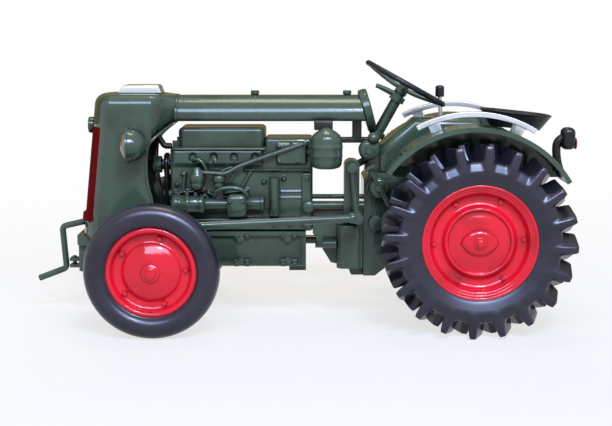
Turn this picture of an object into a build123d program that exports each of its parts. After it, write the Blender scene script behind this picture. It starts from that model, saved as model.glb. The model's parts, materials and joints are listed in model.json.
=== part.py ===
from build123d import *
import math
import os

# Die-cast scale model of a vintage farm tractor, in millimetres.
# Laid out from the rear axle: x rearward, y to the right, z up from the ground.

# Fits: a radial gap that lets a piece turn, and one that lets it be pushed into place
RUN_CLEAR = 0.05
SEAT_CLEAR = 0.02

# Wheels
WHEELBASE = 50.3
REAR_TYRE_R = 15.0
REAR_TYRE_H = 6.05
REAR_TYRE_W = 7.6
REAR_TRACK = 32.4
REAR_PIN_R = 1.0
FRONT_TYRE_R = 10.5
FRONT_TYRE_H = 3.45
FRONT_TYRE_W = 4.6
FRONT_TRACK = 36.2
FRONT_PIN_R = 0.7
LUGS = 20
LUG_H = 2.4
LUG_SWEEP = 2.6
LUG_TIP_W = 1.25
LUG_ROOT_W = 2.9
LUG_FOOT = 0.9
RIM_SHEET = 0.6
RIM_LIP = 0.45
REAR_BOLTS = 6
FRONT_BOLTS = 5
BOLT_R = 0.42
BOLT_H = 0.45
HUB_WALL = 1.1
BOSS_LENGTH = 5.9
BOSS_HEIGHT = 4.2
BOSS_RISE = 0.75
NUB_R = 1.05

# Drive line, chained rearward from the front axle
AXLE_ROOM = 4.1
PAN_LENGTH = 19.6
PAN_STEP = 1.1
PAN_BOTTOM = 8.4
PAN_HALF_W = 4.6
PAN_FLANGE = 0.7
FOOT_LENGTH = 2.8
FOOT_DROP = 0.9
ENGINE_LEAD = 2.5
BLOCK_HALF_W = 5.0
BLOCK_SEAT = 0.9
BLOCK_TOP = 28.3
HEAD_RISE = 1.4
HEAD_HALF_W = 4.2
ROCKER_SETBACK = 1.3
ROCKER_LENGTH = 14.1
ROCKER_RISE = 3.15
ROCKER_HALF_W = 4.4
PORTS = 4
PORT_PITCH = 3.2
PORT_R = 0.8
PORT_RISE = 0.45
PORT_DROP = 1.5
CLUTCH_LENGTH = 8.3
CLUTCH_HALF_W = 4.5
CLUTCH_TOP = 18.2
CLUTCH_SLOPE = 3.0
CASE_LENGTH = 4.4
CASE_HALF_W = 7.0
GEARBOX_REAR = 6.5
GEARBOX_HALF_W = 5.2
GEARBOX_TOP = 24.0
GEARBOX_BOTTOM = 9.0
SUMP_BOTTOM = 7.1
SUMP_LENGTH = 3.9
HOUSING_R = 2.6
FLANGE_R = 3.8
FLANGE_THICK = 1.1
DRAWBAR_REACH = 6.1
DRAWBAR_HALF_W = 1.7
DRAWBAR_THICK = 1.0
DRAWBAR_Z = 10.6
HITCH_HOLE_R = 0.8

# Engine fittings on the left side
PUMP_R = 1.5
PUMP_LENGTH = 6.6
PUMP_Z = 19.25
GOVERNOR_R = 1.7
GOVERNOR_H = 3.6
CUP_R = 1.17
CUP_H = 3.4
CUP_Z = 21.5
PIPE_R = 0.36
CLEANER_R = 2.5
CLEANER_BOTTOM = 25.2
CLEANER_H = 6.5
CLEANER_Y = -8.0
FAN_Z = 25.0
PULLEY_Z = 19.8
PULLEY_R = 1.75
HOSE_R = 0.5
EXHAUST_R = 0.75
SILENCER_R = 1.5

# Radiator shell, grille, tank and instrument plate
SHELL_GAP = 1.15
SHELL_SIDE = 6.65
SHELL_HALF_W = 7.0
SHELL_TOP = 36.9
SHELL_WALL = 0.9
SHELL_ROUND = 1.9
NOSE_BULGE = 3.15
LEAN = math.tan(math.radians(6.3))
GRILLE_TOP = 31.6
GRILLE_BOTTOM = 16.2
GRILLE_HALF_W = 5.9
GRILLE_DEPTH = 0.7
GRILLE_SILL = 0.45
SLATS = 13
SLAT_GAP = 0.32
BADGE_R = 1.35
BADGE_RISE = 0.8
COVER_FRONT = 6.1
COVER_REAR = 1.2
COVER_RISE = 1.35
COVER_HALF_W = 2.4
NECK_LENGTH = 3.6
NECK_BOTTOM = 31.5
NECK_DROP = 2.0
BACK_ROUND = 1.5
FLARE_FOOT = 6.2
FLARE_H = 4.2
TANK_W = 8.0
TANK_BOTTOM = 32.4
TANK_TOP = 36.6
TANK_ROUND = 2.0
TANK_CAP_R = 0.7
DASH_D = 7.2
DASH_THICK = 1.5
DASH_TILT = 15.5
LAMP_R = 2.65
LAMP_DEPTH = 3.2
LAMP_SETBACK = 3.45
LAMP_Y = 10.0
LAMP_Z = 29.0
LENS_RISE = 1.15
BEZEL = 0.15

# Steering
COLUMN_R = 0.88
COLUMN_TILT = 29.0
COLUMN_SETBACK = 2.1
COLUMN_Z = 29.5
COLUMN_LENGTH = 8.9
WHEEL_D = 15.0
WHEEL_ROD_R = 0.55
WHEEL_DISH = 1.3
SPOKES = 4
SPOKE_R = 0.36
STEER_CASE_TOP = 28.7
LEVER_BEHIND = 13.3
LEVER_R = 0.35
KNOB_R = 0.75
KNOB_H = 1.9
DROP_AHEAD = 2.05
DROP_TOP = 25.8
DROP_FALL = 8.1
DROP_Y = -9.0
DROP_R = 0.6
POST_TOP = 26.6
POST_Y = -8.0
LINK_R = 0.65
LINK_Y = -11.4
LINK_BEHIND = 4.0
LINK_RISE = 5.8

# Front end
FRAME_OVERHANG = 14.2
FRAME_HALF_W = 4.2
FRAME_DEPTH = 1.6
BUFFER_LENGTH = 4.2
BUFFER_DROP = 3.1
BEAM_HALF = 0.9
BEAM_CLEAR = 0.6
PIVOT_R = 0.6
KING_OFFSET = 3.6
KINGPIN_R = 0.5
EYE_R = 1.2
EYE_H = 2.1
FORK = 0.8
ARM_LENGTH = 3.4
ARM_R = 0.4
CRANK_R = 0.52
CRANK_THROW = 7.1

# Fenders, rails, seat and rear lamp
FENDER_GAP = 2.0
FENDER_AHEAD = 0.7
FENDER_UP = 0.6
FENDER_SHEET = 0.7
FENDER_OUT = 18.0
FENDER_IN = 11.2
FENDER_LIP = 0.75
FENDER_FRONT = 143.4
FENDER_REAR = 30.8
WALL_DEPTH = 9.0
RAIL_GAP = 1.3
RAIL_SHEET = 0.8
RAIL_Y = 13.4
RAIL_W = 1.5
RAIL_FRONT = 117.8
RAIL_REAR = 59.0
SEAT_X = 8.2
SEAT_TOP = 33.8
SEAT_TILT = 5.9
SEAT_LENGTH = 11.6
SEAT_W = 9.6
SEAT_DEPTH = 2.6
SEAT_SHEET = 0.6
SEAT_ROUND = 3.6
REAR_LAMP_Y = -14.0
LENS_R = 0.9
REAR_LAMP_H = 3.4
REAR_LAMP_L = 2.1
STALK_R = 0.6
STALK_BEND = 0.9
STALK_PAD = 0.5
BOARD_LENGTH = 8.0
BOARD_THICK = 0.6

# Values that follow from the ones above
FRONT_AXLE = -WHEELBASE
REAR_RIM_R = REAR_TYRE_R - REAR_TYRE_H
FRONT_RIM_R = FRONT_TYRE_R - FRONT_TYRE_H
REAR_Y = REAR_TRACK / 2
FRONT_Y = FRONT_TRACK / 2
REAR_HALF = REAR_TYRE_W / 2
FRONT_HALF = FRONT_TYRE_W / 2
AXLE_HALF = FRONT_Y - KING_OFFSET
KNUCKLE_END = AXLE_HALF + EYE_R + FORK
HOUSING_END = REAR_Y - REAR_HALF - 0.5
PAN_FRONT = FRONT_AXLE + AXLE_ROOM
PAN_REAR = PAN_FRONT + PAN_LENGTH
ENGINE_REAR = PAN_REAR + PAN_STEP
ENGINE_FRONT = PAN_FRONT - ENGINE_LEAD
GEARBOX_FRONT = ENGINE_REAR + CLUTCH_LENGTH
ROCKER_FRONT = ENGINE_FRONT + ROCKER_SETBACK
ROCKER_REAR = ROCKER_FRONT + ROCKER_LENGTH
HEAD_TOP = BLOCK_TOP + HEAD_RISE
SHELL_REAR = FRONT_AXLE - SHELL_GAP
FRAME_FRONT = FRONT_AXLE - FRAME_OVERHANG
FRAME_BOTTOM = FRONT_TYRE_R + BEAM_HALF + BEAM_CLEAR
SHELL_BOTTOM = FRAME_BOTTOM + FRAME_DEPTH
BLOCK_BOTTOM = SHELL_BOTTOM + BLOCK_SEAT
TANK_FRONT = SHELL_REAR + NECK_LENGTH
TANK_REAR = GEARBOX_FRONT
TANK_MID = (TANK_TOP + TANK_BOTTOM) / 2
LAMP_X = SHELL_REAR - LAMP_SETBACK
COLUMN_X = GEARBOX_FRONT + COLUMN_SETBACK
DROP_X = GEARBOX_FRONT - DROP_AHEAD
FENDER_R = REAR_TYRE_R + FENDER_GAP
FENDER_Z = REAR_TYRE_R + FENDER_UP
RAIL_R = FENDER_R + RAIL_GAP + RAIL_SHEET
LEFT = -BLOCK_HALF_W


def block(x0, x1, y0, y1, z0, z1):
    """A box between two corners."""
    return Pos((x0 + x1) / 2, (y0 + y1) / 2, (z0 + z1) / 2) * Box(x1 - x0, y1 - y0, z1 - z0)


def rod(start, end, radius):
    """A round bar between two points."""
    run = Vector(*end) - Vector(*start)
    base = Plane(origin=start, z_dir=run)
    return base * Cylinder(radius, run.length, align=(Align.CENTER, Align.CENTER, Align.MIN))


def cross_pin(x, z, radius, y0, y1):
    """A round bar across the model, along y."""
    return rod((x, y0, z), (x, y1, z), radius)


def tube(points, radius, bend):
    """A round bar bent through the points."""
    path = FilletPolyline(*points, radius=bend)
    start = Plane(origin=path @ 0, z_dir=path % 0)
    return sweep(start * Circle(radius), path=path)


def side_cut(face, y0, y1):
    """A face drawn in the side view, carried across from y0 to y1."""
    return extrude(Plane((0, y1, 0), x_dir=(1, 0, 0), z_dir=(0, -1, 0)) * face, amount=y1 - y0)


def slab(points, y0, y1):
    """A side outline of (x, z) points, carried across from y0 to y1."""
    return side_cut(make_face(Polyline(*points, close=True)), y0, y1)


def arch(inner, outer, low, high, y0, y1):
    """A strip of the fender's arch between two angles from the rear."""
    span = high - low
    centre = (-FENDER_AHEAD, FENDER_Z)
    top = CenterArc(centre, outer, low, span)
    under = CenterArc(centre, inner, low, span)
    face = make_face([top, under, Line(top @ 0, under @ 0), Line(top @ 1, under @ 1)])
    return side_cut(face, y0, y1)


def arch_point(radius, angle):
    """Side view place (x, z) on the fender's arch."""
    a = math.radians(angle)
    return -FENDER_AHEAD + radius * math.cos(a), FENDER_Z + radius * math.sin(a)


def pair(shape):
    """The shape and its mirror on the other side."""
    return shape + mirror(shape, about=Plane.XZ)


def tyre_profile(crown, shoulder, rim_r, half, edge):
    """Half section of a tyre on its rim, open at the bead."""
    bead = rim_r - RIM_SHEET + SEAT_CLEAR
    foot = rim_half(half)
    bulge = (rim_r + shoulder) / 2
    return make_face([
        Line((bead, -foot), (bead, foot)),
        Line((bead, foot), (rim_r, foot)),
        ThreePointArc((rim_r, foot), (bulge, half), (shoulder, edge)),
        ThreePointArc((shoulder, edge), (crown, 0), (shoulder, -edge)),
        ThreePointArc((shoulder, -edge), (bulge, -half), (rim_r, -foot)),
        Line((rim_r, -foot), (bead, -foot)),
    ])


def rim_half(half):
    """Half width of the rim's seat in a tyre of this half width."""
    return half - RIM_LIP - 0.4


def rear_tyre():
    """Carcass with two rows of staggered lugs, its outer side towards +y."""
    crown = REAR_TYRE_R - LUG_H
    shoulder = crown - 0.5
    carcass = revolve(tyre_profile(crown, shoulder, REAR_RIM_R, REAR_HALF, REAR_HALF - 0.5), axis=Axis.Y)
    lead = math.degrees(LUG_SWEEP / 2 / REAR_TYRE_R)
    lugs = []
    for i in range(LUGS):
        for side in (1, -1):
            turn = 360 / LUGS * (i + side / 4) - lead
            lugs.append(Rot(0, turn, 0) * lug(side, shoulder - LUG_FOOT))
    return carcass.fuse(*lugs)


def lug(side, foot):
    """One slanted lug at the top of the tyre, from the middle to the shoulder, flared at its foot."""
    half = LUG_SWEEP / 2

    def footprint(width, reach, level):
        w = width / 2
        inner = -0.3 * side
        outer = reach * side
        corners = [(-half - w, inner), (-half + w, inner), (half + w, outer), (half - w, outer)]
        return Plane.XY.offset(level) * make_face(Polyline(*corners, close=True))

    far = half + LUG_TIP_W / 2
    tip = math.sqrt(REAR_TYRE_R ** 2 - far ** 2)
    return loft([footprint(LUG_ROOT_W, REAR_HALF, foot),
                 footprint(LUG_TIP_W, REAR_HALF - 0.35, tip)], ruled=True)


def front_tyre():
    """Smooth round tyre."""
    shoulder = FRONT_TYRE_R - 0.55
    return revolve(tyre_profile(FRONT_TYRE_R, shoulder, FRONT_RIM_R, FRONT_HALF, FRONT_HALF - 0.6),
                   axis=Axis.Y)


def rim(radius, half, flange, ridge, dome):
    """Pressed wheel turned from one profile: barrel, flanges, bolt ring, ridge and dome."""
    seat = radius - RIM_SHEET
    wall = seat - RIM_SHEET
    face = disc_level(half)
    outer = half + RIM_LIP
    step = half - RIM_LIP
    top = face + 0.3 + dome
    lines = [
        Polyline((0, face - RIM_SHEET), (wall, face - RIM_SHEET), (wall, -outer), (radius, -outer),
                 (radius, -half), (seat, -half), (seat, half), (radius, half), (radius, outer),
                 (radius - flange, outer - RIM_LIP / 3), (radius - flange, step),
                 (wall - RIM_SHEET, face + RIM_LIP)),
        ThreePointArc((wall - RIM_SHEET, face + RIM_LIP), ((wall + ridge) / 2, face - 0.1),
                      (ridge + 0.4, face)),
        Polyline((ridge + 0.4, face), (ridge + 0.3, face + RIM_LIP), (ridge, face + RIM_LIP)),
        ThreePointArc((ridge, face + RIM_LIP), (ridge * 0.6, top - dome / 3), (0, top)),
        Line((0, top), (0, face - RIM_SHEET)),
    ]
    return revolve(make_face(lines), axis=Axis.Y)


def disc_level(half):
    """Height of the wheel disc above the wheel's middle plane."""
    return half * 0.35


def ring_of(count, radius, phase, piece):
    """Copies of a piece at the top of the wheel, turned to places round it."""
    return [Rot(0, -phase - 360 / count * i, 0) * Pos(radius, 0, 0) * piece for i in range(count)]


def rear_rim():
    """Rear wheel with its rim bolts, lens-shaped boss, nub and bore."""
    half = rim_half(REAR_HALF)
    face = disc_level(half)
    ridge, dome = REAR_RIM_R - 3.75, 0.9
    bolt = cross_pin(0, 0, BOLT_R, face - 0.3, face + BOLT_H)
    bow = (BOSS_LENGTH ** 2 + BOSS_HEIGHT ** 2) / (4 * BOSS_HEIGHT)
    top = face + dome + BOSS_RISE
    shift = bow - BOSS_HEIGHT / 2
    boss = cross_pin(0, shift, bow, face, top) & cross_pin(0, -shift, bow, face, top)
    nub = cross_pin(0, 0, NUB_R, face, top + BOSS_RISE)
    hub = cross_pin(0, 0, REAR_PIN_R + HUB_WALL, HOUSING_END - REAR_Y + 0.15, face)
    body = rim(REAR_RIM_R, half, 0.8, ridge, dome)
    body = body.fuse(hub, boss, nub, *ring_of(REAR_BOLTS, REAR_RIM_R - 2.05, -3, bolt))
    return body - cross_pin(0, 0, REAR_PIN_R + RUN_CLEAR, -REAR_HALF - HUB_WALL, face + 0.4)


def front_rim():
    """Front wheel with its clamp bolts, hub cap and bore."""
    half = rim_half(FRONT_HALF)
    face = disc_level(half)
    ridge, dome = FRONT_RIM_R - 2.6, 0.75
    bolt = cross_pin(0, 0, BOLT_R, face - 0.3, face + BOLT_H)
    cap = cross_pin(0, 0, NUB_R * 1.45, face, face + dome + BOSS_RISE)
    cap = chamfer(cap.edges().group_by(Axis.Y)[-1], 0.4)
    hub = cross_pin(0, 0, FRONT_PIN_R + HUB_WALL, KNUCKLE_END - FRONT_Y + 0.15, face)
    body = rim(FRONT_RIM_R, half, 1.0, ridge, dome)
    body = body.fuse(hub, cap, *ring_of(FRONT_BOLTS, FRONT_RIM_R - 1.75, -3, bolt))
    return body - cross_pin(0, 0, FRONT_PIN_R + RUN_CLEAR, -FRONT_HALF - HUB_WALL, face + 0.3)


def nose_plan(level, inset, rear):
    """Plan outline of the radiator shell at one height; the front leans forward at the foot."""
    corner = SHELL_REAR - SHELL_SIDE - (SHELL_TOP - level) * LEAN
    tip = corner - NOSE_BULGE + inset
    half = SHELL_HALF_W - inset
    lines = [
        Line((rear, half), (rear, -half)),
        Line((rear, -half), (corner, -half)),
        ThreePointArc((corner, -half), (tip, 0), (corner, half)),
        Line((corner, half), (rear, half)),
    ]
    return Plane.XY.offset(level) * make_face(lines)


def nose_solid(inset, low, high, rear):
    """The shell's outer form, drawn in by an inset."""
    return loft([nose_plan(low, inset, rear), nose_plan(high, inset, rear)], ruled=True)


def across(x, z):
    """Plane across the model, looking rearward."""
    return Plane((x, 0, z), x_dir=(0, 1, 0), z_dir=(1, 0, 0))


def tank_section(x):
    """Oval section of the tank across the model."""
    return across(x, TANK_MID) * RectangleRounded(TANK_W, TANK_TOP - TANK_BOTTOM, TANK_ROUND)


def shell_back():
    """Cut along the shell's rear edge, round under the neck and flared at the foot."""
    front, rear = SHELL_REAR - SHELL_WALL, SHELL_REAR + 1
    top, low = NECK_BOTTOM - NECK_DROP, SHELL_BOTTOM + FLARE_FOOT
    corner = BACK_ROUND * (1 - math.sqrt(0.5))
    lines = [
        Polyline((front + BACK_ROUND, top), (rear, top), (rear, low), (SHELL_REAR, low)),
        ThreePointArc((SHELL_REAR, low), (front + SHELL_WALL / 4, low + FLARE_H / 2), (front, low + FLARE_H)),
        Line((front, low + FLARE_H), (front, top - BACK_ROUND)),
        ThreePointArc((front, top - BACK_ROUND), (front + corner, top - corner), (front + BACK_ROUND, top)),
    ]
    return side_cut(make_face(lines), -2 * SHELL_HALF_W, 2 * SHELL_HALF_W)


def radiator_shell():
    """Hollow shell with a grille opening, an open back with round corners and a neck into the tank."""
    outer = nose_solid(0, SHELL_BOTTOM, SHELL_TOP, SHELL_REAR)
    outer = fillet(outer.edges().group_by(Axis.Z)[-1].sort_by(Axis.X)[:-1], SHELL_ROUND)
    height = SHELL_TOP - NECK_BOTTOM + NECK_DROP
    wide = RectangleRounded(2 * SHELL_HALF_W, height, SHELL_ROUND)
    neck = loft([across(SHELL_REAR, SHELL_TOP - height / 2) * wide, tank_section(TANK_FRONT)], ruled=True)
    cavity = nose_solid(SHELL_WALL, SHELL_BOTTOM - 1, NECK_BOTTOM, SHELL_REAR + 1)
    window = block(SHELL_REAR - 3 * SHELL_SIDE, SHELL_REAR - SHELL_SIDE + 0.5, -GRILLE_HALF_W, GRILLE_HALF_W,
                   GRILLE_BOTTOM, GRILLE_TOP)
    return outer + neck - cavity - window - shell_back()


def grille():
    """Curved panel of upright slats with a sill, set in the shell's opening."""
    low, high = GRILLE_BOTTOM + SEAT_CLEAR, GRILLE_TOP - SEAT_CLEAR
    rear = SHELL_REAR - SHELL_SIDE
    far = rear - 3 * SHELL_SIDE
    side = GRILLE_HALF_W - SEAT_CLEAR
    frame = block(far, rear + 0.4, -side, side, low, high)
    panel = (nose_solid(0, low, high, rear) - nose_solid(GRILLE_DEPTH, low, high, rear + 1)) & frame
    sill = nose_solid(-GRILLE_SILL, low, low + 2 * GRILLE_SILL, rear)
    panel += (sill - nose_solid(GRILLE_DEPTH, low, high, rear + 1)) & frame
    face = nose_solid(GRILLE_DEPTH / 2, low, high, rear + 1)
    pitch = 2 * GRILLE_HALF_W / SLATS
    for i in range(1, SLATS):
        y = -GRILLE_HALF_W + i * pitch
        slot = block(far, rear, y - SLAT_GAP / 2, y + SLAT_GAP / 2, low + 3 * GRILLE_SILL, high - GRILLE_SILL)
        panel -= slot - face
    return panel


def grille_badge():
    """Blank round boss at the head of the grille."""
    tip = SHELL_REAR - SHELL_SIDE - NOSE_BULGE - (SHELL_TOP - GRILLE_TOP) * LEAN
    boss = rod((tip - BADGE_RISE, 0, GRILLE_TOP), (tip + BADGE_RISE, 0, GRILLE_TOP), BADGE_R)
    return boss - nose_solid(0, SHELL_BOTTOM, SHELL_TOP, SHELL_REAR)


def filler_cover():
    """Bright cover on the shell's top with sloped ends and rounded edges."""
    front, rear, rise = SHELL_REAR - COVER_FRONT, SHELL_REAR + COVER_REAR, SHELL_TOP + COVER_RISE
    outline = [(front, SHELL_TOP), (front + 1.2, rise), (rear - 0.5, rise), (rear, SHELL_TOP)]
    body = slab(outline, -COVER_HALF_W, COVER_HALF_W)
    return fillet(body.edges().group_by(Axis.Z)[-1], COVER_RISE / 3) - radiator_shell()


def headlamps():
    """Two lamp bowls with bezels, on short stalks from the shell's sides."""
    edge = LAMP_R + BEZEL
    lines = [
        Polyline((LAMP_DEPTH, 0), (0, 0), (0, edge), (2 * BEZEL, edge), (2 * BEZEL, LAMP_R)),
        ThreePointArc((2 * BEZEL, LAMP_R), (LAMP_DEPTH * 0.6, LAMP_R * 0.78), (LAMP_DEPTH, 0)),
    ]
    bowl = Pos(LAMP_X, LAMP_Y, LAMP_Z) * revolve(make_face(lines), axis=Axis.X)
    stalk = cross_pin(LAMP_X + LAMP_DEPTH / 2, LAMP_Z - 0.4, 0.7, SHELL_HALF_W, LAMP_Y)
    return pair(bowl + stalk)


def headlamp_lenses():
    """Domed lens on each lamp."""
    edge = LAMP_R - BEZEL
    radius = (edge ** 2 + LENS_RISE ** 2) / (2 * LENS_RISE)
    ball = Pos(radius - LENS_RISE, 0, 0) * Sphere(radius)
    return pair(Pos(LAMP_X, LAMP_Y, LAMP_Z) * split(ball, bisect_by=Plane.YZ, keep=Keep.BOTTOM))


def dash_plane():
    """Front face of the tilted instrument plate."""
    t = math.radians(DASH_TILT)
    return Plane((TANK_REAR, 0, TANK_MID - 0.7), x_dir=(0, 1, 0), z_dir=(math.cos(t), 0, math.sin(t)))


def fuel_tank():
    """Long oval tank from the shell's neck to the instrument plate."""
    body = extrude(tank_section(TANK_FRONT), amount=TANK_REAR - TANK_FRONT + TANK_W)
    return split(body, bisect_by=dash_plane(), keep=Keep.BOTTOM)


def tank_caps():
    """Two small plugs on the tank's top."""
    places = (TANK_FRONT + 12.8, TANK_REAR - 2.6)
    caps = [rod((x, 0, TANK_TOP), (x, 0, TANK_TOP + TANK_CAP_R), TANK_CAP_R) for x in places]
    return caps[0] + caps[1]


def dash_plate():
    """Round instrument plate on the tank's end."""
    disc = extrude(dash_plane() * Circle(DASH_D / 2), amount=DASH_THICK)
    return fillet(disc.edges().group_by(SortBy.LENGTH)[-1], DASH_THICK / 4)


def rocker_cover():
    """Valve cover with rounded corners."""
    top = BLOCK_TOP + ROCKER_RISE
    body = block(ROCKER_FRONT, ROCKER_REAR, -ROCKER_HALF_W, ROCKER_HALF_W, BLOCK_TOP, top)
    body = fillet(body.edges().filter_by(Axis.Z), ROCKER_RISE / 3)
    return fillet(body.edges().group_by(Axis.Z)[-1], ROCKER_RISE / 4.5)


def engine_block():
    """Block and head with ports, ledges, a side cover and the oil filler."""
    body = block(ENGINE_FRONT, ENGINE_REAR, LEFT, -LEFT, BLOCK_BOTTOM, BLOCK_TOP)
    body += block(ROCKER_REAR, ENGINE_REAR, -HEAD_HALF_W, HEAD_HALF_W, BLOCK_TOP, HEAD_TOP)
    body = fillet(body.edges().filter_by(Axis.Z).group_by(Axis.X)[0], 0.8)
    ledge = BLOCK_TOP - 0.1
    body += block(ROCKER_FRONT, ROCKER_REAR, LEFT - 0.3, 0.3 - LEFT, ledge - 0.6, ledge)
    for i in range(PORTS):
        x, z = port_place(i)
        body += pair(cross_pin(x, z, PORT_R, LEFT - PORT_RISE, LEFT + 0.2))
        body -= cross_pin(x, z, PORT_R / 2, LEFT - PORT_RISE, LEFT)
    body += block(ENGINE_REAR - 5.9, ENGINE_REAR - 0.9, LEFT - 0.4, LEFT + 0.2, CLEANER_BOTTOM, BLOCK_TOP)
    body += block(ROCKER_REAR - 2.6, ENGINE_REAR - 0.2, LEFT - 0.45, LEFT + 0.2, CLEANER_BOTTOM - 0.7,
                  CLEANER_BOTTOM - 0.2)
    filler = (ENGINE_REAR - 6.3, LEFT - 0.55)
    body += rod((*filler, PUMP_Z - 1.9), (*filler, CUP_Z + 2.1), PUMP_R / 2)
    return body + block(ENGINE_FRONT + 1, ENGINE_REAR, LEFT - 0.35, 0.35 - LEFT, BLOCK_BOTTOM + 0.9,
                        BLOCK_BOTTOM + 1.5)


def port_place(i):
    """Side view place (x, z) of one port."""
    return ROCKER_FRONT + 2.5 + PORT_PITCH * i, BLOCK_TOP - PORT_DROP - PORT_R


def oil_pan():
    """Lower crankcase with its flanges, bolt lugs and a rear foot."""
    body = block(PAN_FRONT, PAN_REAR, -PAN_HALF_W, PAN_HALF_W, PAN_BOTTOM, BLOCK_BOTTOM)
    body = fillet(body.edges().filter_by(Axis.X).group_by(Axis.Z)[0], 1.0)
    wide = BLOCK_HALF_W + 0.3
    body += block(PAN_FRONT, PAN_REAR, -wide, wide, BLOCK_BOTTOM - PAN_FLANGE, BLOCK_BOTTOM)
    body += block(PAN_REAR - FOOT_LENGTH, PAN_REAR, -2.6, 2.6, PAN_BOTTOM - FOOT_DROP, PAN_BOTTOM + FOOT_DROP)
    body += block(PAN_REAR - PAN_FLANGE, PAN_REAR, LEFT, -LEFT, PAN_BOTTOM + 0.6, BLOCK_BOTTOM)
    for x in (PAN_REAR - 3.0, PAN_REAR - 10.8):
        for z in (BLOCK_BOTTOM - 1.2, PAN_BOTTOM + 1.2):
            body += pair(cross_pin(x, z, 0.6, PAN_HALF_W - 0.2, PAN_HALF_W + 0.6))
    return body


def injection_pump():
    """Horizontal pump with its upright governor, on the block's left side."""
    y = LEFT - PUMP_R * 0.8
    rear = ENGINE_FRONT + PUMP_LENGTH
    up = rear + 4.2
    body = rod((ENGINE_FRONT, y, PUMP_Z), (rear, y, PUMP_Z), PUMP_R)
    body += rod((rear, y, PUMP_Z), (up, y, PUMP_Z), PUMP_R * 0.55)
    body += rod((up, y, PUMP_Z - GOVERNOR_H / 2), (up, y, PUMP_Z + GOVERNOR_H / 2), GOVERNOR_R)
    return body - engine_block()


def cup_places():
    """Axis (x, y), radius and top of each fuel filter cup."""
    x = ENGINE_FRONT + 4.6
    return ((x, LEFT - CUP_R - 0.35, CUP_R, CUP_Z + CUP_H),
            (x + 3.45, LEFT - CUP_R - 0.15, CUP_R - 0.15, CUP_Z + CUP_H - 1.1))


def fuel_filters():
    """Two filter cups on brackets at the block's left side."""
    cups = []
    for x, y, r, top in cup_places():
        cup = rod((x, y, CUP_Z), (x, y, top), r)
        cup = fillet(cup.edges().group_by(Axis.Z)[0], r / 2)
        cups.append(cup + block(x - r / 2, x + r / 2, y, LEFT, top - 0.7, top))
    return cups[0] + cups[1]


def fuel_pipe():
    """Thin pipe from the filters up to the air cleaner."""
    front, rear = cup_places()
    y = LEFT - 1.1
    x, z = port_place(PORTS - 1)
    points = [(front[0], y, front[3] - 0.7), (rear[0] + 1.3, y, rear[3] + 0.5), (x - 0.6, y, z - 0.8),
              (ENGINE_REAR + 0.5, y - 0.6, BLOCK_TOP + 1.4)]
    return tube(points, PIPE_R, 0.9) - air_cleaner() - fuel_filters() - engine_block()


def air_cleaner():
    """Upright canister with a domed top, on an arm from the engine's rear."""
    x, r = ENGINE_REAR + CLEANER_R - 0.2, CLEANER_R
    y, top = CLEANER_Y, CLEANER_BOTTOM + CLEANER_H
    body = rod((x, y, CLEANER_BOTTOM), (x, y, top), r)
    body = fillet(body.edges().group_by(Axis.Z)[-1], r / 2)
    body += rod((x, y, top - 2.8), (x, y, top - 2.4), r + 0.15)
    return body + block(ENGINE_REAR - 0.7, x, y, LEFT, CLEANER_BOTTOM + 0.7, CLEANER_BOTTOM + 2.7)


def tank_support():
    """Dark bar and post that carry the tank on the steering case."""
    half, level = 1.3, STEER_CASE_TOP + 0.8
    bar = block(GEARBOX_FRONT - 3.7, COLUMN_X - 0.5, -half, half, STEER_CASE_TOP, level)
    return bar + block(GEARBOX_FRONT - 1.7, GEARBOX_FRONT - 0.2, -half, half, level, TANK_BOTTOM)


def cooling_fan():
    """Fan with its shaft and pulley, and the lower pulley, in front of the engine."""
    front = SHELL_REAR - SHELL_WALL - 0.5
    body = rod((front, 0, FAN_Z), (ENGINE_FRONT, 0, FAN_Z), PULLEY_R / 2)
    body += rod((ENGINE_FRONT - 1.5, 0, FAN_Z), (ENGINE_FRONT - 0.6, 0, FAN_Z), PULLEY_R)
    for i in range(4):
        blade = Pos(front + 0.5, 0, PULLEY_R + 1.0) * Rot(0, 0, 28) * Box(0.35, 1.9, 4.3)
        body += Pos(0, 0, FAN_Z) * Rot(45 + 90 * i, 0, 0) * blade
    return body + rod((ENGINE_FRONT - 1.5, 0, PULLEY_Z), (ENGINE_FRONT, 0, PULLEY_Z), PULLEY_R)


def core_rear():
    """Back face of the radiator core."""
    return SHELL_REAR - SHELL_WALL - 1.2


def radiator_core():
    """Core block inside the shell."""
    half = SHELL_HALF_W - SHELL_WALL - 0.3
    front = SHELL_REAR - SHELL_SIDE
    return block(front, core_rear(), -half, half, SHELL_BOTTOM, NECK_BOTTOM - 0.3)


def radiator_hose():
    """Top hose from the shell's neck to the engine's front."""
    x, y = SHELL_REAR + 0.5, -1.8
    z = FAN_Z + PULLEY_R + 3 * HOSE_R
    points = [(x, y, NECK_BOTTOM), (x, y, z + 1.6), (x + 1.0, y, z), (ENGINE_FRONT, y, z)]
    return tube(points, HOSE_R, 0.7) - engine_block() - radiator_shell()


def exhaust():
    """Manifold, down pipe and silencer on the right side."""
    y = BLOCK_HALF_W
    _, z = port_place(0)
    front, rear = ROCKER_FRONT + 0.9, ROCKER_REAR + 1.0
    body = block(front, rear, y + PORT_RISE, y + PORT_RISE + 1.5, z - 0.8, z + 0.8)
    out, low = y + SILENCER_R + 0.7, PAN_BOTTOM + SILENCER_R + 1.1
    path = [(rear - 0.9, y + PORT_RISE + 0.75, z), (rear - 0.9, out, z - 4), (rear - 0.9, out, low),
            (GEARBOX_FRONT + 8.2, out, low)]
    body += tube(path, EXHAUST_R, 1.2)
    return body + rod((ENGINE_REAR + 0.5, out, low), (GEARBOX_FRONT + 3.2, out, low), SILENCER_R)


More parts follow.
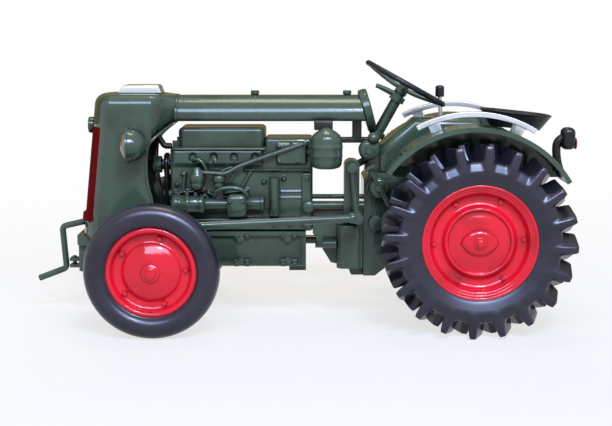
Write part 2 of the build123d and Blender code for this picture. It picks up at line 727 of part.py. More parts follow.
def clutch_housing():
    """Housing between engine and gearbox, with the reduction case on its left."""
    front, rear = ENGINE_REAR, GEARBOX_FRONT
    outline = [(front, BLOCK_BOTTOM - 0.4), (front + CLUTCH_SLOPE, GEARBOX_BOTTOM + 0.2),
               (rear - SUMP_LENGTH / 2 - 0.6, GEARBOX_BOTTOM - 0.4), (rear - SUMP_LENGTH / 2, SUMP_BOTTOM),
               (rear, SUMP_BOTTOM), (rear, CLUTCH_TOP), (front, CLUTCH_TOP)]
    body = slab(outline, -CLUTCH_HALF_W, CLUTCH_HALF_W)
    case = block(rear - CASE_LENGTH, rear, -CASE_HALF_W, -CLUTCH_HALF_W, GEARBOX_BOTTOM - 0.4,
                 CLUTCH_TOP - 2.5)
    case = fillet(case.edges().filter_by(Axis.Z).group_by(Axis.Y)[0], 1.2)
    y, z = 1.0 - CASE_HALF_W, (GEARBOX_BOTTOM + CLUTCH_TOP) / 2 - 1
    return body + case + rod((front + 1.5, y, z), (rear - CASE_LENGTH, y, z), 0.7)


def gearbox():
    """Gearbox and rear axle centre with its sump and side bosses."""
    f, r = GEARBOX_FRONT, GEARBOX_REAR
    sump = f + SUMP_LENGTH / 2
    outline = [(f, SUMP_BOTTOM), (sump, SUMP_BOTTOM), (sump + 2.4, GEARBOX_BOTTOM),
               (r - 1.5, GEARBOX_BOTTOM), (r, GEARBOX_BOTTOM + 1.5), (r, GEARBOX_TOP - 1.3),
               (r - 1.3, GEARBOX_TOP), (f + 1, GEARBOX_TOP), (f, GEARBOX_TOP - 1)]
    body = slab(outline, -GEARBOX_HALF_W, GEARBOX_HALF_W)
    for z, radius in ((GEARBOX_TOP - 2.2, 1.7), (GEARBOX_TOP - 8.0, 1.2)):
        body += pair(cross_pin(f + 2.0, z, radius, GEARBOX_HALF_W, GEARBOX_HALF_W + 1.0))
    return body


def gear_cover():
    """Rounded cover that rises from the column's foot to the seat."""
    front, half = GEARBOX_FRONT + 2.8, 2.5
    top = STEER_CASE_TOP + 4.2
    outline = [(front, GEARBOX_TOP), (front, STEER_CASE_TOP - 0.6), (front + 0.7, STEER_CASE_TOP),
               (front + 5.5, top), (2.0, top), (2.0, GEARBOX_TOP)]
    body = slab(outline, -half, half)
    ridge = body.edges().filter_by(lambda e: abs(e.tangent_at(0.5).X) > 0.3 and e.center().Z > STEER_CASE_TOP)
    return fillet(ridge, half * 0.56)


def rear_axle_housings():
    """Axle tubes from the gearbox to the wheels."""
    tubes = cross_pin(0, REAR_TYRE_R, HOUSING_R, GEARBOX_HALF_W, HOUSING_END)
    return pair(tubes + cross_pin(0, REAR_TYRE_R, FLANGE_R, GEARBOX_HALF_W, GEARBOX_HALF_W + FLANGE_THICK))


def rear_axle_shafts():
    """Pins that the rear wheels turn on."""
    return pair(cross_pin(0, REAR_TYRE_R, REAR_PIN_R, HOUSING_END, REAR_Y + disc_level(rim_half(REAR_HALF))))


def steering_box():
    """Steering case at the column's foot with its side post and cross shaft."""
    half = 1.6
    case = block(GEARBOX_FRONT + 0.3, GEARBOX_FRONT + 2.8, -half, half, GEARBOX_TOP, STEER_CASE_TOP)
    post = block(DROP_X - 1.25, DROP_X + 1.25, POST_Y, -CLUTCH_HALF_W, CLUTCH_TOP - 0.8, POST_TOP)
    post = fillet(post.edges().filter_by(Axis.Y).group_by(Axis.Z)[-1], 1.1)
    shaft = rod((DROP_X, -CLUTCH_HALF_W - 0.5, POST_TOP - 1.5), (GEARBOX_FRONT + 1.4, 0, POST_TOP - 0.4), 0.6)
    return case + post + shaft


def column_axis():
    """Plane at the column's foot with its normal along the column."""
    t = math.radians(COLUMN_TILT)
    return Plane((COLUMN_X, 0, COLUMN_Z), x_dir=(0, 1, 0), z_dir=(math.sin(t), 0, math.cos(t)))


def steering_column():
    """Leaning column with two collars and a hand lever under the wheel."""
    base = (Align.CENTER, Align.CENTER, Align.MIN)
    body = Pos(0, 0, -2) * Cylinder(COLUMN_R, COLUMN_LENGTH + 2, align=base)
    for z in (0.2, COLUMN_LENGTH - 2.0):
        body += Pos(0, 0, z) * Cylinder(COLUMN_R + 0.4, 1.0, align=base)
    lever = Box(WHEEL_D / 4, 0.7, 0.4, align=(Align.MIN, Align.CENTER, Align.MIN))
    body += Pos(0, 0, COLUMN_LENGTH - 1.6) * Rot(0, 0, 90) * lever
    return column_axis() * body - steering_box() - gear_cover() - tank_support() - dash_plate()


def steering_wheel():
    """Ring with a dished hub and spokes."""
    ring_r = WHEEL_D / 2 - WHEEL_ROD_R
    wheel = Pos(0, 0, WHEEL_DISH) * Rot(0, 0, 45) * Torus(ring_r, WHEEL_ROD_R)
    wheel += Cylinder(COLUMN_R + 0.12, WHEEL_DISH / 2, align=(Align.CENTER, Align.CENTER, Align.MIN))
    for i in range(SPOKES):
        a = math.radians(360 / SPOKES * i)
        inner = (COLUMN_R / 2 * math.cos(a), COLUMN_R / 2 * math.sin(a), SPOKE_R)
        wheel += rod(inner, (ring_r * math.cos(a), ring_r * math.sin(a), WHEEL_DISH), SPOKE_R)
    return column_axis() * (Pos(0, 0, COLUMN_LENGTH) * wheel)


def lever_top():
    """Upper end of the gear lever."""
    return GEARBOX_FRONT + LEVER_BEHIND, GEARBOX_HALF_W - 0.2, STEER_CASE_TOP + 7.3


def gear_lever():
    """Thin lever from the gearbox's right side."""
    x, y, _ = lever_top()
    return rod((x + 0.7, y - 0.8, GEARBOX_TOP), lever_top(), LEVER_R)


def gear_knob():
    """Knob on the gear lever."""
    x, y, z = lever_top()
    knob = rod((x, y, z), (x, y, z + KNOB_H), KNOB_R)
    return fillet(knob.edges().group_by(Axis.Z)[-1], KNOB_R * 0.6) - gear_lever()


def drop_end():
    """Side view place (x, z) of the drop arm's lower end."""
    return DROP_X + 0.8, DROP_TOP - DROP_FALL


def drop_arm():
    """Steering arm down the left side."""
    x, z = drop_end()
    body = rod((DROP_X, DROP_Y, DROP_TOP), (x, DROP_Y, z), DROP_R)
    body += cross_pin(DROP_X, DROP_TOP - 0.4, DROP_R + 0.2, DROP_Y - DROP_R - 0.15, POST_Y)
    body += cross_pin(x, z, DROP_R + 0.25, DROP_Y - DROP_R - 0.1, DROP_Y + DROP_R + 0.1)
    return body + cross_pin(x, z, DROP_R - 0.1, LINK_Y + LINK_R, DROP_Y)


def link_front():
    """Side view place (x, z) of the drag link's front end."""
    return FRONT_AXLE + LINK_BEHIND, FRONT_TYRE_R + LINK_RISE


def drag_link():
    """Long link from the drop arm to the front knuckle."""
    x0, z0 = drop_end()
    x1, z1 = link_front()
    eye = LINK_R + 0.25
    body = rod((x0, LINK_Y, z0), (x1, LINK_Y, z1), LINK_R)
    body += cross_pin(x0, z0, eye, LINK_Y - LINK_R, LINK_Y + LINK_R)
    return body + rod((x1, LINK_Y, z1 - eye), (x1, LINK_Y, z1 + eye), eye)


def front_frame():
    """Carrier under the radiator with a buffer, tow jaw, ears and a pivot pin for the axle."""
    x, z = FRONT_AXLE, FRONT_TYRE_R
    low = z - BUFFER_DROP
    body = block(FRAME_FRONT, PAN_FRONT, -FRAME_HALF_W, FRAME_HALF_W, FRAME_BOTTOM, SHELL_BOTTOM)
    half = FRAME_HALF_W - 1.0
    body += block(FRAME_FRONT, FRAME_FRONT + BUFFER_LENGTH, -half, half, low, FRAME_BOTTOM)
    body = fillet(body.edges().filter_by(Axis.Z).group_by(Axis.X)[0], 0.8)
    boss = BEAM_HALF + 0.6
    for ear in (x - boss - 1.0, x + boss):
        body += block(ear, ear + 1.0, -1.6, 1.6, z - 1.4, FRAME_BOTTOM)
    pin = FRAME_FRONT - 1.2
    for jaw in (low + 0.2, low + 1.3):
        body += block(FRAME_FRONT - 1.9, FRAME_FRONT + 0.5, -0.9, 0.9, jaw, jaw + 0.5)
    body += rod((pin, 0, low + 0.2), (pin, 0, low + 2.1), 0.35)
    return body + rod((x - boss - 0.5, 0, z), (x + boss + 0.5, 0, z), PIVOT_R)


def front_axle():
    """Beam on the pivot pin with an eye at each end."""
    x, z = FRONT_AXLE, FRONT_TYRE_R
    beam = block(x - BEAM_HALF, x + BEAM_HALF, -AXLE_HALF, AXLE_HALF, z - BEAM_HALF, z + BEAM_HALF)
    boss = rod((x - BEAM_HALF - 0.55, 0, z), (x + BEAM_HALF + 0.55, 0, z), PIVOT_R + 0.7)
    eyes = pair(rod((x, AXLE_HALF, z - EYE_H / 2), (x, AXLE_HALF, z + EYE_H / 2), EYE_R))
    bores = pair(rod((x, AXLE_HALF, z - EYE_H), (x, AXLE_HALF, z + EYE_H), KINGPIN_R + RUN_CLEAR))
    return beam + boss + eyes - bores - rod((x - 3, 0, z), (x + 3, 0, z), PIVOT_R + RUN_CLEAR)


def knuckle(side):
    """Forked knuckle with its kingpin, stub axle and arms, on one side."""
    x, z, y = FRONT_AXLE, FRONT_TYRE_R, AXLE_HALF
    top, low = z + EYE_H / 2, z - EYE_H / 2
    body = rod((x, y, low - FORK), (x, y, low), EYE_R) + rod((x, y, top), (x, y, top + FORK), EYE_R)
    body += block(x - EYE_R, x + EYE_R, y, KNUCKLE_END, top, top + FORK)
    body += block(x - EYE_R, x + EYE_R, y, KNUCKLE_END, low - FORK, low)
    body += block(x - EYE_R, x + EYE_R, y + EYE_R + 0.1, KNUCKLE_END, low - FORK, top + FORK)
    body += rod((x, y, low - FORK / 2), (x, y, top + FORK / 2), KINGPIN_R)
    body += cross_pin(x, z, FRONT_PIN_R, KNUCKLE_END - FORK / 2, FRONT_Y + disc_level(rim_half(FRONT_HALF)))
    body += rod((x, y, low - FORK / 2), (x + ARM_LENGTH, y - 0.6, low - FORK / 2), ARM_R)
    if side < 0:
        x1, z1 = link_front()
        eye = LINK_R + 0.25
        body += rod((x, y, top + FORK / 2), (x1, -LINK_Y, z1 - eye - 0.5), ARM_R)
        body += rod((x1, -LINK_Y, z1 - eye - 0.8), (x1, -LINK_Y, z1 - eye), ARM_R + 0.1)
    return mirror(body, about=Plane.XZ) if side < 0 else body


def tie_rod():
    """Cross rod behind the axle between the knuckle arms."""
    x, z = FRONT_AXLE + ARM_LENGTH, FRONT_TYRE_R - EYE_H / 2 - FORK / 2
    reach = AXLE_HALF - 0.6
    return cross_pin(x, z, ARM_R + 0.05, -reach, reach) - knuckle(1) - knuckle(-1)


def hand_crank():
    """Starting handle at the front."""
    x, z = FRAME_FRONT, SHELL_BOTTOM + 1.7
    bend = x - 3.1
    low = z - 0.8 - CRANK_THROW
    points = [(x + 4.5, 0, z + 0.2), (x + 0.4, 0, z), (bend, 0, z - 0.8), (bend + 0.5, 0, low),
              (bend - 4.2, 0, low - 1.8)]
    return tube(points, CRANK_R, 0.8) - nose_solid(0, SHELL_BOTTOM, SHELL_TOP, SHELL_REAR) - grille()


def fender(side):
    """Arched fender with an outer lip, an inner wall and grip ribs on its front slope."""
    ends = (FENDER_REAR, FENDER_FRONT)
    body = arch(FENDER_R - FENDER_SHEET, FENDER_R, *ends, FENDER_IN, FENDER_OUT)
    body += arch(FENDER_R - FENDER_LIP, FENDER_R, *ends, FENDER_OUT - 0.5, FENDER_OUT)
    wall = FENDER_IN + FENDER_SHEET
    _, low = arch_point(FENDER_R, FENDER_REAR)
    side_sheet = arch(FENDER_R - WALL_DEPTH, FENDER_R, *ends, FENDER_IN, wall)
    body += side_sheet & block(-2 * FENDER_R, 2 * FENDER_R, 0, 2 * FENDER_OUT, low, 3 * FENDER_R)
    body += block(-3.0, 3.0, FENDER_IN, wall, REAR_TYRE_R, low + 0.5)
    body -= cross_pin(0, REAR_TYRE_R, HOUSING_R, 0, FENDER_OUT)
    for i in range(4):
        at = FENDER_FRONT - 16.5 + 3 * i
        body += arch(FENDER_R - 0.2, FENDER_R + 0.18, at, at + 1.4, FENDER_IN + 1, FENDER_OUT - 1)
    return mirror(body, about=Plane.XZ) if side < 0 else body


def fender_rails():
    """Bright grab rails on two brackets above each fender."""
    y0, y1 = RAIL_Y - RAIL_W / 2, RAIL_Y + RAIL_W / 2
    rail = arch(RAIL_R - RAIL_SHEET, RAIL_R, RAIL_REAR, RAIL_FRONT, y0, y1)
    for at in (RAIL_FRONT - 11, RAIL_REAR + 5.2):
        rail += arch(FENDER_R, RAIL_R - RAIL_SHEET, at, at + 6, y0 + 0.1, y1 - 0.1)
    return pair(rail)


def seat_place():
    """Position of the seat's rim, lower towards the rear."""
    return Pos(SEAT_X, 0, SEAT_TOP) * Rot(0, SEAT_TILT, 0)


def seat_form(inset):
    """Form of the seat pan, drawn in by an inset."""
    rim_face = RectangleRounded(SEAT_LENGTH - 2 * inset, SEAT_W - 2 * inset, SEAT_ROUND - inset)
    base = RectangleRounded(SEAT_LENGTH - 3.4 - inset, SEAT_W - 2.6 - inset, SEAT_ROUND - 1.2)
    return seat_place() * loft([Plane.XY.offset(inset - SEAT_DEPTH) * base, rim_face], ruled=True)


def seat():
    """Pressed seat pan."""
    return seat_form(0) - seat_form(SEAT_SHEET)


def seat_post():
    """Post from the gearbox to the seat."""
    return block(2.0, GEARBOX_REAR - 1.3, -1.5, 1.5, GEARBOX_TOP, SEAT_TOP) - seat_form(0)


def rear_lamp():
    """Lamp body on a bent stalk at the left fender's end."""
    y = REAR_LAMP_Y
    foot_x, foot_z = arch_point(FENDER_R + STALK_PAD / 2, FENDER_REAR + 4.5)
    x, z = lamp_corner()
    back = x - 0.5
    path = [(foot_x, y, foot_z), (back, y, foot_z + 2.4), (back, y, z + 1.2), (x + 0.8, y, z + 2.4)]
    stalk = tube(path, STALK_R, STALK_BEND) - fender(-1)
    stalk += arch(FENDER_R, FENDER_R + STALK_PAD, FENDER_REAR + 2, FENDER_REAR + 7, y - STALK_R, y + STALK_R)
    body = block(x, x + REAR_LAMP_L, y - 1.3, y + 1.3, z, z + REAR_LAMP_H)
    return stalk + fillet(body.edges().filter_by(Axis.Y), REAR_LAMP_L / 4)


def lamp_corner():
    """Side view place (x, z) of the rear lamp's lower front corner."""
    x, z = arch_point(FENDER_R, FENDER_REAR)
    return x - 1.1, z + 4.6


def rear_lamp_lens():
    """Round lens on the rear lamp."""
    x, z = lamp_corner()
    face = x + REAR_LAMP_L
    return rod((face, REAR_LAMP_Y, z + LENS_R), (face + 0.3, REAR_LAMP_Y, z + LENS_R), LENS_R)


def drawbar():
    """Hitch plate with a pin hole behind the gearbox."""
    x, top = GEARBOX_REAR + DRAWBAR_REACH, DRAWBAR_Z + DRAWBAR_THICK
    plate = block(GEARBOX_REAR, x, -DRAWBAR_HALF_W, DRAWBAR_HALF_W, DRAWBAR_Z, top)
    plate += rod((x, 0, DRAWBAR_Z), (x, 0, top), DRAWBAR_HALF_W)
    return plate - rod((x, 0, DRAWBAR_Z - 1), (x, 0, top + 1), HITCH_HOLE_R)


def board_level():
    """Underside of the footboards, just over the axle flange."""
    return REAR_TYRE_R + FLANGE_R + 0.1


def pedals():
    """Clutch and brake pedals beside the gearbox."""
    x, y, z = GEARBOX_FRONT + 4.0, GEARBOX_HALF_W, board_level() + 0.2
    out = y + 1.9
    arm = tube([(x, y, z), (x, out, z), (x - 3.2, out, z + 6)], ARM_R, 0.5)
    pad = Pos(x - 3.2, out, z + 6.2) * Rot(0, -30, 0) * Box(1.7, 1.9, 0.5)
    return pair(arm + pad)


def control_rods():
    """Two rods over the clutch housing's left edge."""
    rods = [rod((ENGINE_REAR, y, z), (GEARBOX_FRONT, y, z), ARM_R)
            for y, z in ((0.9 - CLUTCH_HALF_W, CLUTCH_TOP + 0.6), (1.5 - CLUTCH_HALF_W, CLUTCH_TOP + 1.8))]
    return rods[0] + rods[1]


def footboards():
    """Ribbed boards beside the gearbox."""
    x, low = GEARBOX_FRONT + 4.6, board_level()
    top = low + BOARD_THICK
    board = block(x, x + BOARD_LENGTH, GEARBOX_HALF_W, FENDER_IN, low, top)
    for i in range(5):
        at = x + BOARD_LENGTH / 5 * (i + 0.35)
        board += block(at, at + 0.5, GEARBOX_HALF_W + 0.6, FENDER_IN - 0.6, top - 0.1, top + 0.2)
    return pair(board)


def wheel_pair(shape, x, y, radius):
    """A wheel piece set at the right and mirrored to the left."""
    right = Pos(x, y, radius) * shape
    return right, mirror(right, about=Plane.XZ)


def pieces():
    """Every piece by node name, laid out from the rear axle."""
    made = {}
    for maker in (radiator_shell, grille, grille_badge, filler_cover, headlamps, headlamp_lenses, fuel_tank,
                  tank_caps, dash_plate, rocker_cover, engine_block, oil_pan, injection_pump, fuel_filters,
                  fuel_pipe, air_cleaner, tank_support, cooling_fan, radiator_core,
                  radiator_hose, exhaust, clutch_housing, gearbox, gear_cover, rear_axle_housings,
                  rear_axle_shafts, steering_box, steering_column, steering_wheel,
                  gear_lever, gear_knob, drop_arm, drag_link, front_frame, front_axle, tie_rod,
                  hand_crank, fender_rails, seat, seat_post, rear_lamp, rear_lamp_lens,
                  drawbar, pedals, control_rods, footboards):
        made[maker.__name__] = maker()
    made["front_knuckles"] = knuckle(1) + knuckle(-1)
    made["fenders"] = fender(1) + fender(-1)
    for name, shape, x, y, radius in (
            ("rear_tyre", rear_tyre(), 0, REAR_Y, REAR_TYRE_R),
            ("rear_rim", rear_rim(), 0, REAR_Y, REAR_TYRE_R),
            ("front_tyre", front_tyre(), FRONT_AXLE, FRONT_Y, FRONT_TYRE_R),
            ("front_rim", front_rim(), FRONT_AXLE, FRONT_Y, FRONT_TYRE_R)):
        made[name + "_right"], made[name + "_left"] = wheel_pair(shape, x, y, radius)
    return made


def main():
    """Build every piece, centre the model on the ground and write one file a piece."""
    os.makedirs("parts", exist_ok=True)
    made = pieces()
    boxes = [shape.bounding_box() for shape in made.values()]
    front = min(box.min.X for box in boxes)
    rear = max(box.max.X for box in boxes)
    ground = min(box.min.Z for box in boxes)
    for name, shape in made.items():
        export_step(Pos(-(front + rear) / 2, 0, -ground) * shape, f"parts/{name}.step")
    print("front", round(front, 3), "rear", round(rear, 3), "ground", round(ground, 4))


if __name__ == "__main__":
    main()
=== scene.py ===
"""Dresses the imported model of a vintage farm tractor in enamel, rubber, plating and lamp resin."""
import json
import logging
import math
from dataclasses import dataclass
from enum import Enum
from itertools import product
from typing import Any, Sequence

import bmesh
import bpy
import numpy as np
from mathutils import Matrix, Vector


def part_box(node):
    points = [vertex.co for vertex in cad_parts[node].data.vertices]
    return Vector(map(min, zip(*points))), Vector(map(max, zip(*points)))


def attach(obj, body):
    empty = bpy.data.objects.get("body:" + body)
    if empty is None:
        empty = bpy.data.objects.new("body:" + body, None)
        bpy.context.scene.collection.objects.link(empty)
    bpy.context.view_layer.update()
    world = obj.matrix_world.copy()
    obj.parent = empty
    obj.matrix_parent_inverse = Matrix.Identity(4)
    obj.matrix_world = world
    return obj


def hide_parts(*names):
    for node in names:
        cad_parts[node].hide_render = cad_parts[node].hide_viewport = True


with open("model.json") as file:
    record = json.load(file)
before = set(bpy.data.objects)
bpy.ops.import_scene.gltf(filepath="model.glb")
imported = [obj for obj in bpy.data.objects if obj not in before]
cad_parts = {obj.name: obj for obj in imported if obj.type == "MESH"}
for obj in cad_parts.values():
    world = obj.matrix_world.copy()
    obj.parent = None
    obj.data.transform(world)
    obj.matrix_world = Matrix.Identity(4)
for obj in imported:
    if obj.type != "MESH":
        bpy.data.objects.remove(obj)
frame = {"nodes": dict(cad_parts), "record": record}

LOG = logging.getLogger("tractor")
MM = 0.001
CHASSIS = "chassis"
TURN = 2.0 * math.pi
UP, LEFTWARD, BACKWARD = (0, 0, 1), (0, -1, 0), (1, 0, 0)

Pair = tuple[float, float]
Triple = tuple[float, float, float]
Tree = bpy.types.NodeTree
Socket = bpy.types.NodeSocket


class Side(Enum):
    """Which side of the tractor a piece sits on, as the sign of y."""

    LEFT = -1
    RIGHT = 1

    @property
    def word(self) -> str:
        """The side's name as the nodes spell it."""
        return self.name.lower()


class Axle(Enum):
    """The two axles, by the word that starts their nodes' names."""

    FRONT = "front"
    REAR = "rear"


class Slot(Enum):
    """The record's material slots."""

    GREEN = "green_enamel"
    RED = "red_enamel"
    BRIGHT = "bright_metal"
    STEEL = "steel"
    PLASTIC = "black_plastic"
    BLACK = "black_enamel"
    TYRE = "tyre"
    LENS = "lamp_lens"
    RED_LENS = "red_lens"
    # The grille's finish is the red enamel darkened as painted shade for its recess
    GRILLE = "red_enamel/grille"

    @property
    def record(self) -> str:
        """The slot's name in the record; a darker copy of a finish, carrying painted shade, shares its slot.
        """
        return self.value.split("/")[0]


def linear(code: str) -> tuple[float, float, float, float]:
    """Turn an sRGB hex colour into linear light.

    Args:
        code: six hex digits after a hash.

    Returns:
        Red, green, blue and an alpha of one.
    """
    srgb = np.array([int(code[i:i + 2], 16) for i in (1, 3, 5)]) / 255.0
    light = np.where(srgb <= 0.04045, srgb / 12.92, ((srgb + 0.055) / 1.055) ** 2.4)
    return (*light.tolist(), 1.0)


def add_node(tree: Tree, kind: str, sockets: dict[Any, Any] | None = None, **settings: Any) -> bpy.types.Node:
    """Add a node with its settings, values and links.

    Args:
        tree: the material's node tree.
        kind: the node's type name.
        sockets: input name or number to a constant, or to the output socket that feeds it.
        settings: the node's own properties.

    Returns:
        The new node.
    """
    made = tree.nodes.new(kind)
    for key, value in settings.items():
        setattr(made, key, value)
    for key, value in (sockets or {}).items():
        if isinstance(value, Socket):
            tree.links.new(value, made.inputs[key])
        else:
            made.inputs[key].default_value = value
    return made


def per_metre(size_mm: float) -> float:
    """Texture scale that gives a pattern of this size in millimetres."""
    return 1.0 / (size_mm * MM)


def new_tree(name: str) -> tuple[bpy.types.Material, Tree, Socket]:
    """Start a material with an empty tree.

    Args:
        name: the material's name.

    Returns:
        The material, its tree and the object coordinates to draw patterns on.
    """
    made = bpy.data.materials.new(name)
    made.use_nodes = True
    made.node_tree.nodes.clear()
    place = add_node(made.node_tree, "ShaderNodeTexCoord").outputs["Object"]
    return made, made.node_tree, place


def noise(tree: Tree, place: Socket, size_mm: float, detail: float) -> Socket:
    """Cloudy pattern of a size in millimetres, from zero to one."""
    sockets = {"Vector": place, "Scale": per_metre(size_mm), "Detail": detail}
    return add_node(tree, "ShaderNodeTexNoise", sockets).outputs["Fac"]


def spread(tree: Tree, value: Socket, low: float, high: float) -> Socket:
    """Stretch a value of zero to one between two levels."""
    return add_node(tree, "ShaderNodeMapRange", {"Value": value, "To Min": low, "To Max": high}).outputs[0]


def blend(tree: Tree, share: Socket, first: str, second: str) -> Socket:
    """Go from one colour to another by a share."""
    sockets = {"Factor": share, 6: linear(first), 7: linear(second)}
    return add_node(tree, "ShaderNodeMix", sockets, data_type="RGBA").outputs[2]


def bump(tree: Tree, height: Socket, strength: float, depth_mm: float) -> Socket:
    """Bend the normals by a height of this depth in millimetres."""
    sockets = {"Height": height, "Strength": strength, "Distance": depth_mm * MM}
    return add_node(tree, "ShaderNodeBump", sockets).outputs[0]


def unshaded_share(tree: Tree, cloud: Socket, reach_mm: float, low: float, high: float = 0.5) -> Socket:
    """Share of a place left out of painted shade: zero in corners and recesses, which take painted shade, and
    one on free faces, with a cloudy edge between.

    Args:
        tree: the tree to add the nodes to.
        cloud: pattern that breaks up the edge.
        reach_mm: how far off a wall a place still counts as a corner that takes painted shade.
        low: value that counts as a corner.
        high: value that counts as open.

    Returns:
        The socket that carries it.
    """
    # Ambient occlusion as a mask for painted shade, darkest where walls are near
    corner = add_node(tree, "ShaderNodeAmbientOcclusion", {"Distance": reach_mm * MM}, samples=6)
    depth = add_node(tree, "ShaderNodeMath", {0: corner.outputs["AO"], 1: cloud}, operation="MULTIPLY")
    sockets = {"Value": depth.outputs[0], "From Min": low, "From Max": high}
    return add_node(tree, "ShaderNodeMapRange", sockets).outputs[0]


def surface(tree: Tree, sockets: dict[str, Any]) -> None:
    """Close a material's tree with one shader."""
    shader = add_node(tree, "ShaderNodeBsdfPrincipled", sockets)
    add_node(tree, "ShaderNodeOutputMaterial", {"Surface": shader.outputs[0]})


@dataclass(frozen=True)
class Enamel:
    """Stoved enamel sprayed on a zinc casting.

    Its colour is painted darker in corners and recesses as painted shade, by how enclosed each place is,
    while the open faces keep the enamel's own colour; a fine orange peel breaks up the highlights.
    """

    name: str
    colour: str
    # Colour painted into corners and recesses as painted shade
    painted_shade: str
    roughness: float
    specular: float
    ior: float = 1.5
    # How far off a wall the painted shade reaches
    painted_shade_mm: float = 2.6
    cloud_mm: float = 6.0
    peel_mm: float = 0.55
    peel_depth_mm: float = 0.016

    def material(self) -> bpy.types.Material:
        """Build the enamel's nodes.

        Returns:
            The material.
        """
        made, tree, place = new_tree(self.name)
        cloud = noise(tree, place, self.cloud_mm, 3.0)
        peel = noise(tree, place, self.peel_mm, 1.0)
        # Share of each place left out of the painted shade in corners and recesses
        thin = unshaded_share(tree, cloud, self.painted_shade_mm, 0.06)
        surface(tree, {
            "Base Color": blend(tree, thin, self.painted_shade, self.colour),
            "Roughness": spread(tree, cloud, self.roughness * 0.75, self.roughness * 1.3),
            "Specular IOR Level": self.specular, "IOR": self.ior,
            "Normal": bump(tree, peel, 0.5, self.peel_depth_mm)})
        return made


@dataclass(frozen=True)
class Rubber:
    """Moulded soft rubber.

    Carbon black under a faint bloom that is left out of the tread's corners and pockets, which stay black as
    painted shade; a fine mould grain and a bluish sheen at a low angle.
    """

    name: str
    # Bare black, left in corners and pockets as painted shade; open faces take the bloom
    colour: str
    bloom: str
    roughness: float
    glint: str = "#e8e6f8"
    sheen: str = "#9fb2e6"
    # How far off a wall the painted shade in the corners reaches
    corner_shade_mm: float = 3.5
    bloom_mm: float = 4.0
    grain_mm: float = 0.35
    grain_depth_mm: float = 0.02

    def material(self) -> bpy.types.Material:
        """Build the rubber's nodes.

        Returns:
            The material.
        """
        made, tree, place = new_tree(self.name)
        cloud = noise(tree, place, self.bloom_mm, 4.0)
        grain = noise(tree, place, self.grain_mm, 2.0)
        # Bloom only on open faces; corners and pockets keep the bare black as painted shade
        bloom_unshaded = unshaded_share(tree, cloud, self.corner_shade_mm, 0.16)
        surface(tree, {
            "Base Color": blend(tree, bloom_unshaded, self.colour, self.bloom), "Roughness": self.roughness,
            "Specular IOR Level": 0.6, "Specular Tint": linear(self.glint),
            "Sheen Weight": 0.06, "Sheen Roughness": 0.4, "Sheen Tint": linear(self.sheen),
            "Normal": bump(tree, grain, 0.3, self.grain_depth_mm)})
        return made


@dataclass(frozen=True)
class Plated:
    """Bright plating or bare metal, polished along one direction.

    A mirror with a slight haze, streaked by fine polishing lines.
    """

    name: str
    colour: str
    roughness: float
    streak_mm: float = 0.5
    streak_depth_mm: float = 0.02

    def material(self) -> bpy.types.Material:
        """Build the plating's nodes.

        Returns:
            The material.
        """
        made, tree, place = new_tree(self.name)
        along = add_node(tree, "ShaderNodeMapping", {"Vector": place, "Scale": (0.1, 1.0, 1.0)})
        streak = noise(tree, along.outputs[0], self.streak_mm, 3.0)
        surface(tree, {
            "Base Color": linear(self.colour), "Metallic": 1.0,
            "Roughness": spread(tree, streak, self.roughness * 0.6, self.roughness * 1.6),
            "Normal": bump(tree, streak, 0.15, self.streak_depth_mm)})
        return made


@dataclass(frozen=True)
class LensGlass:
    """Pressed lens of tinted clear resin over a painted back.

    Upright flutes a fraction of a millimetre wide bend the highlight into stripes, and the tint is cloudy.
    """

    name: str
    colour: str
    deep: str
    cloud_mm: float = 1.6
    flute_mm: float = 0.42
    flute_depth_mm: float = 0.05

    def material(self) -> bpy.types.Material:
        """Build the lens's nodes.

        Returns:
            The material.
        """
        made, tree, place = new_tree(self.name)
        sockets = {"Vector": place, "Scale": per_metre(self.flute_mm) / TURN, "Distortion": 0.0}
        flutes = add_node(tree, "ShaderNodeTexWave", sockets, bands_direction="Y")
        cloud = noise(tree, place, self.cloud_mm, 2.0)
        surface(tree, {
            "Base Color": blend(tree, cloud, self.deep, self.colour), "Roughness": 0.16, "IOR": 1.49,
            "Coat Weight": 0.6, "Coat Roughness": 0.05,
            "Normal": bump(tree, flutes.outputs["Fac"], 0.4, self.flute_depth_mm)})
        return made


# Each enamel's darker colour is the painted shade for its corners and recesses; the rubber's first colour is
# its bare black, left in corners and pockets as painted shade
FINISHES: dict[Slot, Enamel | Rubber | Plated | LensGlass] = {
    Slot.GREEN: Enamel("green_stoved_enamel", "#394839", "#0b0f0b", 0.15, 0.45),
    Slot.RED: Enamel("red_stoved_enamel", "#d21228", "#80060f", 0.12, 0.4, painted_shade_mm=0.8),
    Slot.BRIGHT: Plated("bright_nickel_plate", "#d6d9e0", 0.3),
    Slot.STEEL: Plated("polished_steel_wire", "#b9bcc0", 0.28),
    Slot.PLASTIC: Enamel("black_moulded_plastic", "#131315", "#060607", 0.34, 0.3),
    Slot.BLACK: Enamel("black_stoved_enamel", "#121413", "#050606", 0.3, 0.4),
    Slot.TYRE: Rubber("moulded_tyre_rubber", "#030304", "#1e1b24", 0.3),
    Slot.LENS: LensGlass("amber_lamp_resin", "#8a7c5c", "#5a4a34"),
    Slot.RED_LENS: LensGlass("red_lamp_resin", "#8c1a20", "#4a0a0e"),
    # The grille is the red enamel darkened as painted shade for its recess in the shell, with little
    # reflection
    Slot.GRILLE: Enamel("dark_red_grille_enamel", "#6c1110", "#1c0204", 0.5, 0.03, ior=1.15, painted_shade_mm=0.5),
}

